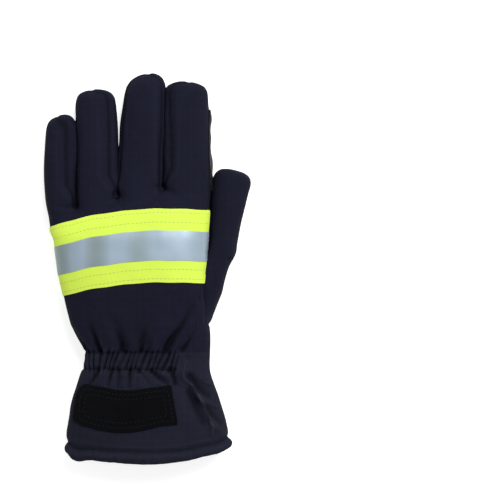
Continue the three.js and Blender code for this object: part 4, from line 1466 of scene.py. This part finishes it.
@dataclass(frozen=True)
class LoopPile(Finish):
    """Black pile of small loops.

    Attributes:
        loops: Loops to the metre.
    """

    specular: float = 0.08
    loops: float = 1300.0

    def material(self, effects: SharedEffects) -> bpy.types.Material:
        """The finish as a material."""
        material, sheet, shader, mottle = self.start(effects)
        place = sheet.add("ShaderNodeTexCoord").outputs["Object"]
        loops = sheet.add("ShaderNodeTexVoronoi", {"Vector": place, "Scale": self.loops})
        tip = sheet.ramp(loops.outputs["Distance"], 0.1, 0.6, 1.0, 0.0)
        ground = sheet.mix(mottle.outputs["Patches"], rgba(self.colour, 0.7), rgba(self.colour, 1.3))
        # Each loop's tip is painted lighter: a painted highlight.
        sheet.feed(shader, "Base Color", sheet.tint(ground, tip, 0.5, rgba(self.colour, 2.6)))
        sheet.bump(shader, sheet.math("ADD", tip, mottle.outputs["Fuzz"]), 0.8, 0.0004)
        return material


@dataclass(frozen=True)
class Thread(Finish):
    """Sewing thread."""

    def material(self, effects: SharedEffects) -> bpy.types.Material:
        """The finish as a material."""
        material, sheet, shader, mottle = self.start(effects)
        ground = sheet.mix(mottle.outputs["Fuzz"], rgba(self.colour, 0.75), rgba(self.colour, 1.25))
        sheet.feed(shader, "Base Color", ground)
        sheet.bump(shader, mottle.outputs["Fuzz"], 0.4, 0.0001)
        return material


class Look(Enum):
    """The finishes by the name of what they cover."""

    SHELL = WovenCloth("shell_cloth", (0.0049, 0.0052, 0.0118), 0.86, wear_and_highlight=(0.0155, 0.0163, 0.032))
    CUFF = WovenCloth("cuff_cloth", (0.0058, 0.0064, 0.0124), 0.86, wear_and_highlight=(0.021, 0.0226, 0.038))
    PALM = Leather("palm_leather", (0.0065, 0.0068, 0.008), 0.62)
    HI_VIS = FluorescentTape("hi_vis_tape", (0.52, 0.69, 0.066), 0.7)
    REFLECTIVE = ReflectiveFilm("reflective_film", (0.29, 0.365, 0.44), 0.5)
    LOOP = LoopPile("loop_pile", (0.0014, 0.0015, 0.0023), 0.95)
    TAPE_THREAD = Thread("tape_thread", (0.34, 0.4, 0.13), 0.7)
    DARK_THREAD = Thread("dark_thread", (0.0042, 0.0044, 0.0056), 0.8)


class Wardrobe:
    """Hands out each finish's material, made once."""

    def __init__(self) -> None:
        """Builds the shared effects and the materials."""
        effects = SharedEffects()
        self.materials = {look: look.value.material(effects) for look in Look}

    def dress(self, mesh: bpy.types.Mesh, look: Look) -> None:
        """Gives the mesh one material all over."""
        mesh.materials.clear()
        mesh.materials.append(self.materials[look])


def publish(name: str, mesh: bpy.types.Mesh, look: Look, wardrobe: Wardrobe, *nodes: str) -> bpy.types.Object:
    """Shows a finished piece in place of its nodes.

    Args:
        name: The piece's name.
        mesh: Its mesh.
        look: Its finish.
        wardrobe: Where the materials come from.
        *nodes: The nodes that it stands for.

    Returns:
        The piece.
    """
    wardrobe.dress(mesh, look)
    points = points_of(mesh)
    points[:, 2] = np.maximum(points[:, 2], 0.0)
    set_points(mesh, points)
    mesh.polygons.foreach_set("use_smooth", [True] * len(mesh.polygons))
    mesh.set_sharp_from_angle(angle=math.radians(SMOOTH_BELOW))
    piece = finished_object(name, mesh)
    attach(piece, "root")
    if nodes:
        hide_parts(*nodes)
    mesh.calc_loop_triangles()
    log.info("%s: %d triangles, %s", name, len(mesh.loop_triangles), look.value.name)
    return piece


def pad(name: str, mesh: bpy.types.Mesh, wall: float, fill: float, look: Look, wardrobe: Wardrobe) -> None:
    """Gives one of the skin's panels its padded wall and its cloth.

    Args:
        name: The panel's name.
        mesh: Its outer surface, which is used up.
        wall: How thick the padded cloth is, in metres.
        fill: How full the padding is; not used.
        look: Its finish.
        wardrobe: Where the materials come from.
    """
    walled = with_modifier(mesh, "SOLIDIFY", thickness=wall, offset=-1.0, use_rim=True)
    publish(f"{name}_cloth", walled, look, wardrobe, *PANELS[name])


@dataclass
class Hand:
    """The padded hand: its back, palm, thumb, finger backs and the strips between the fingers.

    Attributes:
        wall: How thick the padded cloth is, in metres.
        fill: How full the padding is.
    """

    wall: float = 2.0 * MM
    fill: float = 0.55

    def build(self, meshes: dict[str, bpy.types.Mesh], wardrobe: Wardrobe) -> None:
        """Gives each panel its wall and its cloth.

        Args:
            meshes: The skin's panels by name.
            wardrobe: Where the materials come from.
        """
        for name in HAND:
            look = Look.PALM if name == "palm" else Look.SHELL
            pad(name, meshes[name], self.wall, self.fill, look, wardrobe)


@dataclass
class Sleeve:
    """The elasticated wrist, the flared cuff and the binding of its mouth.

    Attributes:
        wall: How thick the cloth is, in metres.
        fill: How full the padding is.
    """

    wall: float = 2.4 * MM
    fill: float = 0.35

    def build(self, meshes: dict[str, bpy.types.Mesh], wardrobe: Wardrobe) -> None:
        """Gives each panel its wall and its cloth.

        Args:
            meshes: The skin's panels by name.
            wardrobe: Where the materials come from.
        """
        for name in SLEEVE:
            pad(name, meshes[name], self.wall, self.fill, Look.CUFF, wardrobe)


@dataclass
class Stitching:
    """Rows of small stitches, joined into one piece.

    Attributes:
        length: One stitch, in metres.
        gap: Between two stitches.
        thickness: The thread.
    """

    length: float = 2.3 * MM
    gap: float = 0.9 * MM
    thickness: float = 0.5 * MM
    work: bmesh.types.BMesh = field(default_factory=bmesh.new)
    count: int = 0

    def row(self, surface: bmesh.types.BMesh, place: Field) -> None:
        """Sews a row where a field is zero on a surface.

        Args:
            surface: The surface, which is cut on the way.
            place: The field.
        """
        result = cut_faces(surface, straddling(surface, place), place)
        edges = [item for item in result["geom_cut"] if isinstance(item, bmesh.types.BMEdge)]
        for chain in chains(edges):
            self.along(chain)

    def along(self, chain: list[Vector]) -> None:
        """Lays stitches end to end along a line of places."""
        line = np.array([tuple(point) for point in chain])
        steps = np.linalg.norm(np.diff(line, axis=0), axis=1)
        at = np.concatenate([[0.0], np.cumsum(steps)])
        start = self.gap
        while start + self.length < at[-1]:
            ends = [
                Vector([float(np.interp(where, at, line[:, axis])) for axis in range(3)])
                for where in (start, start + self.length)
            ]
            self.stitch(*ends)
            start += self.length + self.gap

    def stitch(self, start: Vector, end: Vector) -> None:
        """One stitch, a slim bead between two places."""
        run = end - start
        turn = run.to_track_quat("X", "Z").to_matrix().to_4x4()
        size = Matrix.Diagonal((run.length / 2, self.thickness / 2, self.thickness / 2, 1.0))
        place = Matrix.Translation((start + end) / 2) @ turn @ size
        bmesh.ops.create_uvsphere(self.work, u_segments=6, v_segments=5, radius=1.0, matrix=place)
        self.count += 1

    def publish(self, name: str, look: Look, wardrobe: Wardrobe) -> None:
        """Shows the rows as one piece."""
        mesh = bpy.data.meshes.new(name)
        bmesh.ops.recalc_face_normals(self.work, faces=self.work.faces)
        self.work.to_mesh(mesh)
        self.work.free()
        publish(name, mesh, look, wardrobe)
        log.info("%s: %d stitches", name, self.count)


@dataclass
class WristStitches:
    """The two rows that hold the elastic to the back of the wrist.

    Attributes:
        rows: Where they run along the glove, in metres.
        left: Where they start.
        right: Where they end.
        over: Where the back of the wrist starts, above the floor.
        rise: How far the thread lies above the cloth.
    """

    rows: tuple[float, ...] = (-61.6 * MM, -73.1 * MM)
    left: float = -47.5 * MM
    right: float = 25.5 * MM
    over: float = 12.0 * MM
    rise: float = 0.12 * MM

    def build(self, skin: Skin, wardrobe: Wardrobe) -> None:
        """Sews the rows on the skin.

        Args:
            skin: The cloth that they lie on.
            wardrobe: Where the materials come from.
        """
        stitches = Stitching(length=1.9 * MM, gap=0.7 * MM)
        for row in self.rows:

            def inside(points: np.ndarray, _: np.ndarray, at: float = row) -> np.ndarray:
                """Which points lie near the row, on the upper side."""
                near = (np.abs(points[:, 1] - at) < 4 * MM) & (points[:, 2] > self.over)
                return near & (points[:, 0] > self.left) & (points[:, 0] < self.right)

            work = skin.excerpt(inside)
            work.normal_update()
            for vert in work.verts:
                vert.co += vert.normal * self.rise
            stitches.row(work, lambda places, at=row: places[:, 1] - at)
            work.free()
        stitches.publish("wrist_stitches", Look.DARK_THREAD, wardrobe)


@dataclass
class HiVisTape:
    """The fluorescent tape across the back of the hand, with its silver stripe and four rows of stitches.

    Attributes:
        top: Where the upper edge crosses the middle of the hand, in metres.
        width: The tape's width.
        stripe: The silver stripe's width.
        drop: How far the outer end lies down the hand.
        flat_from: Where the edge starts to drop.
        outer: The hand's outer edge.
        right_top: Where the tape ends at its upper edge.
        right_bottom: Where it ends at its lower edge.
        low: How far down the outer side it reaches.
        thickness: The tape's thickness.
        film: The silver film's thickness.
        rise: How far the tape's lower side lies above the cloth.
        film_rise: How far the film's lower side lies above the cloth, besides the tape's thickness.
        length: How long the tape is laid flat; not used.
        softness: How many rounds its surface is smoothed.
        rows: The stitch rows, from either edge.
    """

    top: float = 43.76 * MM
    width: float = 53.5 * MM
    stripe: float = 21.6 * MM
    drop: float = 12.6 * MM
    flat_from: float = -4.3 * MM
    outer: float = -72.3 * MM
    right_top: float = 46.1 * MM
    right_bottom: float = 42.4 * MM
    low: float = 6.2 * MM
    thickness: float = 0.55 * MM
    film: float = 0.25 * MM
    rise: float = 0.15 * MM
    film_rise: float = 0.2 * MM
    length: float = 0.142
    softness: int = 10
    rows: tuple[float, ...] = (2.7 * MM, 9.6 * MM)

    def from_top(self, places: np.ndarray) -> np.ndarray:
        """How far places lie below the tape's upper edge."""
        across = places[:, 0]
        reach = np.clip((self.flat_from - across) / (self.flat_from - self.outer), 0.0, 1.2)
        wave = 0.35 * MM * np.sin(across / (9.0 * MM)) + 0.2 * MM * np.sin(across / (3.7 * MM))
        return self.top - self.drop * reach**1.4 + wave - places[:, 1]

    def right_end(self, places: np.ndarray) -> np.ndarray:
        """How far places lie past the tape's cut end."""
        share = self.from_top(places) / self.width
        return places[:, 0] - self.right_top - (self.right_bottom - self.right_top) * share

    def inside(self, points: np.ndarray, normals: np.ndarray) -> np.ndarray:
        """Which points lie near the tape."""
        across, along, height = points.T
        near = (along < self.top + 3 * MM) & (along > self.top - self.width - self.drop - 4 * MM)
        right = (across < self.right_top + 3 * MM) & ((across < 0) | (normals[:, 2] > 0.0))
        high = (height > 20 * MM) | ((across < 0) & (height > self.low - 2 * MM))
        return near & right & high

    def bounds(self, margin: float, wide: float) -> tuple[Field, ...]:
        """The fields that bound a strip of the tape.

        Args:
            margin: How far the strip lies below the tape's upper edge.
            wide: The strip's width.

        Returns:
            Fields that are below zero inside the strip.
        """
        return (
            lambda places: margin - self.from_top(places),
            lambda places: self.from_top(places) - margin - wide,
            self.right_end,
            lambda places: self.low - places[:, 2],
        )

    def build(self, skin: Skin, wardrobe: Wardrobe) -> None:
        """Lays the tape and the stripe on the skin and sews the tape.

        Args:
            skin: The cloth that they lie on.
            wardrobe: Where the materials come from.
        """
        whole = self.bounds(0.0, self.width)
        mesh, upper = skin.layer(self.inside, whole, self.rise, self.thickness, self.softness)
        tape = publish("hi_vis_tape_cloth", mesh, Look.HI_VIS, wardrobe, "hi_vis_tape")
        stitches = Stitching(length=2.2 * MM, gap=0.8 * MM, thickness=0.42 * MM)
        for row in self.rows:
            for place in (row, self.width - row):
                stitches.row(upper, lambda places, at=place: self.from_top(places) - at)
        stitches.publish("tape_stitches", Look.TAPE_THREAD, wardrobe)
        upper.free()
        middle = self.bounds((self.width - self.stripe) / 2, self.stripe)
        above_tape = self.film_rise + self.thickness
        mesh, upper = skin.layer(self.inside, middle, above_tape, self.film, self.softness)
        upper.free()
        stripe = publish("silver_stripe_film", mesh, Look.REFLECTIVE, wardrobe, "silver_stripe")


@dataclass
class LoopPatch:
    """The black loop patch on the cuff, sewn down with two rows of stitches.

    Attributes:
        outline: Its corners on the floor's plane, in millimetres.
        rise: How far its lower side lies above the cuff, in metres.
        thickness: Its thickness.
        room: How far past its corners the cuff is still taken up for it.
        softness: How many rounds its surface is smoothed.
        rows: How far in the stitch rows lie.
    """

    outline: tuple[Point, ...] = (
        (-45.4, -84.9), (-40.2, -85.3), (-30.0, -86.9), (-21.0, -88.4), (-13.0, -88.7), (-6.2, -88.0),
        (6.0, -86.3), (18.2, -85.0), (23.2, -111.8), (22.6, -113.0), (11.6, -113.9), (4.0, -115.8),
        (-4.0, -117.6), (-12.0, -118.8), (-21.0, -119.1), (-35.1, -117.0), (-46.9, -114.2), (-53.4, -110.8),
        (-53.6, -109.2), (-51.6, -92.6), (-48.5, -86.9),
    )
    rise: float = 0.2 * MM
    thickness: float = 1.3 * MM
    room: float = 2.0 * MM
    softness: int = 6
    rows: tuple[float, ...] = (3.0 * MM, 6.7 * MM)

    def depth(self, places: np.ndarray) -> np.ndarray:
        """How far places lie outside the outline, below zero where they lie inside."""
        return outline_distance(places[:, :2], np.array(self.outline) * MM)

    def build(self, skin: Skin, wardrobe: Wardrobe) -> None:
        """Lays the patch on the cuff and sews it.

        Args:
            skin: The cloth that it lies on.
            wardrobe: Where the materials come from.
        """
        corners = np.array(self.outline) * MM
        low, high = corners.min(axis=0) - self.room, corners.max(axis=0) + self.room

        def inside(points: np.ndarray, normals: np.ndarray) -> np.ndarray:
            """Which points lie near the patch, on the upper side."""
            near = np.all((points[:, :2] > low) & (points[:, :2] < high), axis=1)
            return near & (points[:, 2] > 18 * MM) & (normals[:, 2] > -0.5)

        mesh, upper = skin.layer(inside, (self.depth,), self.rise, self.thickness, self.softness)
        patch = publish("loop_patch_pile", mesh, Look.LOOP, wardrobe, "loop_patch")
        self.area()
        stitches = Stitching()
        for row in self.rows:
            stitches.row(upper, lambda places, at=row: self.depth(places) + at)
        upper.free()
        stitches.publish("patch_stitches", Look.DARK_THREAD, wardrobe)

    def area(self) -> float:
        """The area within the outline, in square metres."""
        corners = np.array(self.outline) * MM
        following = np.roll(corners, -1, axis=0)
        cross = corners[:, 0] * following[:, 1] - following[:, 0] * corners[:, 1]
        return float(abs(cross.sum()) / 2)


@dataclass
class IndexPatch:
    """The black reinforcement down the index finger's outer side.

    Attributes:
        margin: How far it reaches past the solid that it stands for, in metres.
        rise: How far its lower side lies above the finger.
        thickness: Its thickness.
        across: How wide it is laid flat; not used.
    """

    margin: float = 0.9 * MM
    rise: float = 0.15 * MM
    thickness: float = 0.8 * MM
    across: float = 0.018

    def build(self, skin: Skin, wardrobe: Wardrobe) -> None:
        """Lays the patch on the finger.

        Args:
            skin: The cloth that it lies on.
            wardrobe: Where the materials come from.
        """
        tree = search_tree("index_patch")
        low, high = (np.array(corner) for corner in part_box("index_patch"))
        room = 3 * MM

        def inside(points: np.ndarray, normals: np.ndarray) -> np.ndarray:
            """Which points lie near the patch, on the outer side."""
            near = np.all((points > low - room) & (points < high + room), axis=1)
            return near & (normals[:, 0] > -0.5)

        def beyond(places: np.ndarray) -> np.ndarray:
            """How far places lie outside the patch's outline."""
            drawn_in = np.minimum(places, (high[0], np.inf, np.inf))
            return np.array([tree.find_nearest(Vector(place))[3] for place in drawn_in]) - self.margin

        mesh, upper = skin.layer(inside, (beyond,), self.rise, self.thickness, 2)
        upper.free()
        patch = publish("index_patch_leather", mesh, Look.PALM, wardrobe, "index_patch")


@dataclass
class Studio:
    """The white floor, the soft lights and the camera above.

    Attributes:
        aim: What the camera's middle looks at, in metres.
        height: How high the camera is.
        shown: The width of floor that the picture shows.
    """

    aim: Point = (75.9 * MM, 14.1 * MM)
    height: float = 1.4
    shown: float = 0.37

    def build(self) -> None:
        """Sets the floor, lights and camera."""
        scene = bpy.context.scene
        scene.view_settings.view_transform = "Standard"
        self.build_floor()
        self.build_world()
        self.area_light("key", (0.9, 1.5, 2.3), 1.3, 92.0)
        self.build_camera()

    def build_floor(self) -> None:
        """A plain white floor."""
        work = bmesh.new()
        bmesh.ops.create_grid(work, x_segments=2, y_segments=2, size=3.0)
        mesh = bpy.data.meshes.new("floor")
        work.to_mesh(mesh)
        work.free()
        material = bpy.data.materials.new("floor")
        material.use_nodes = True
        shader = material.node_tree.nodes["Principled BSDF"]
        shader.inputs["Base Color"].default_value = (0.6, 0.6, 0.6, 1.0)
        shader.inputs["Roughness"].default_value = 0.9
        shader.inputs["Emission Color"].default_value = (1.0, 1.0, 1.0, 1.0)
        shader.inputs["Emission Strength"].default_value = 0.72
        mesh.materials.append(material)
        finished_object("floor", mesh)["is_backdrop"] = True

    def build_world(self) -> None:
        """Even white light from all round."""
        world = bpy.data.worlds.new("studio")
        world.use_nodes = True
        background = world.node_tree.nodes["Background"]
        background.inputs["Color"].default_value = (1.0, 1.0, 1.0, 1.0)
        background.inputs["Strength"].default_value = 0.5
        bpy.context.scene.world = world

    def area_light(self, name: str, place: tuple[float, float, float], size: float, power: float) -> None:
        """A square softbox that faces the glove.

        Args:
            name: Its name.
            place: Where it hangs.
            size: Its side.
            power: Its power, in watts.
        """
        data = bpy.data.lights.new(name, "AREA")
        data.size = size
        data.energy = power
        light = bpy.data.objects.new(name, data)
        light.location = place
        light.rotation_euler = (-Vector(place)).to_track_quat("-Z", "Y").to_euler()
        bpy.context.scene.collection.objects.link(light)

    def build_camera(self) -> None:
        """The camera straight above, which shows the glove in the picture's left half."""
        data = bpy.data.cameras.new("camera")
        middle_height = 0.02
        data.lens = data.sensor_width * (self.height - middle_height) / self.shown
        camera = bpy.data.objects.new("camera", data)
        camera.location = (*self.aim, self.height)
        bpy.context.scene.collection.objects.link(camera)
        bpy.context.scene.camera = camera


def main() -> None:
    """Builds the glove, then the studio."""
    logging.basicConfig(level=logging.INFO, format="%(message)s")
    wardrobe = Wardrobe()
    skin = Skin()
    skin.build()
    meshes = skin.parted()
    Hand().build(meshes, wardrobe)
    Sleeve().build(meshes, wardrobe)
    WristStitches().build(skin, wardrobe)
    HiVisTape().build(skin, wardrobe)
    LoopPatch().build(skin, wardrobe)
    IndexPatch().build(skin, wardrobe)
    Studio().build()
    boxes = {"cad": CAD_BOX, "visual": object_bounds()}
    {name: [list(corner) for corner in box] for name, box in boxes.items()}


if __name__ == "__main__":
    main()
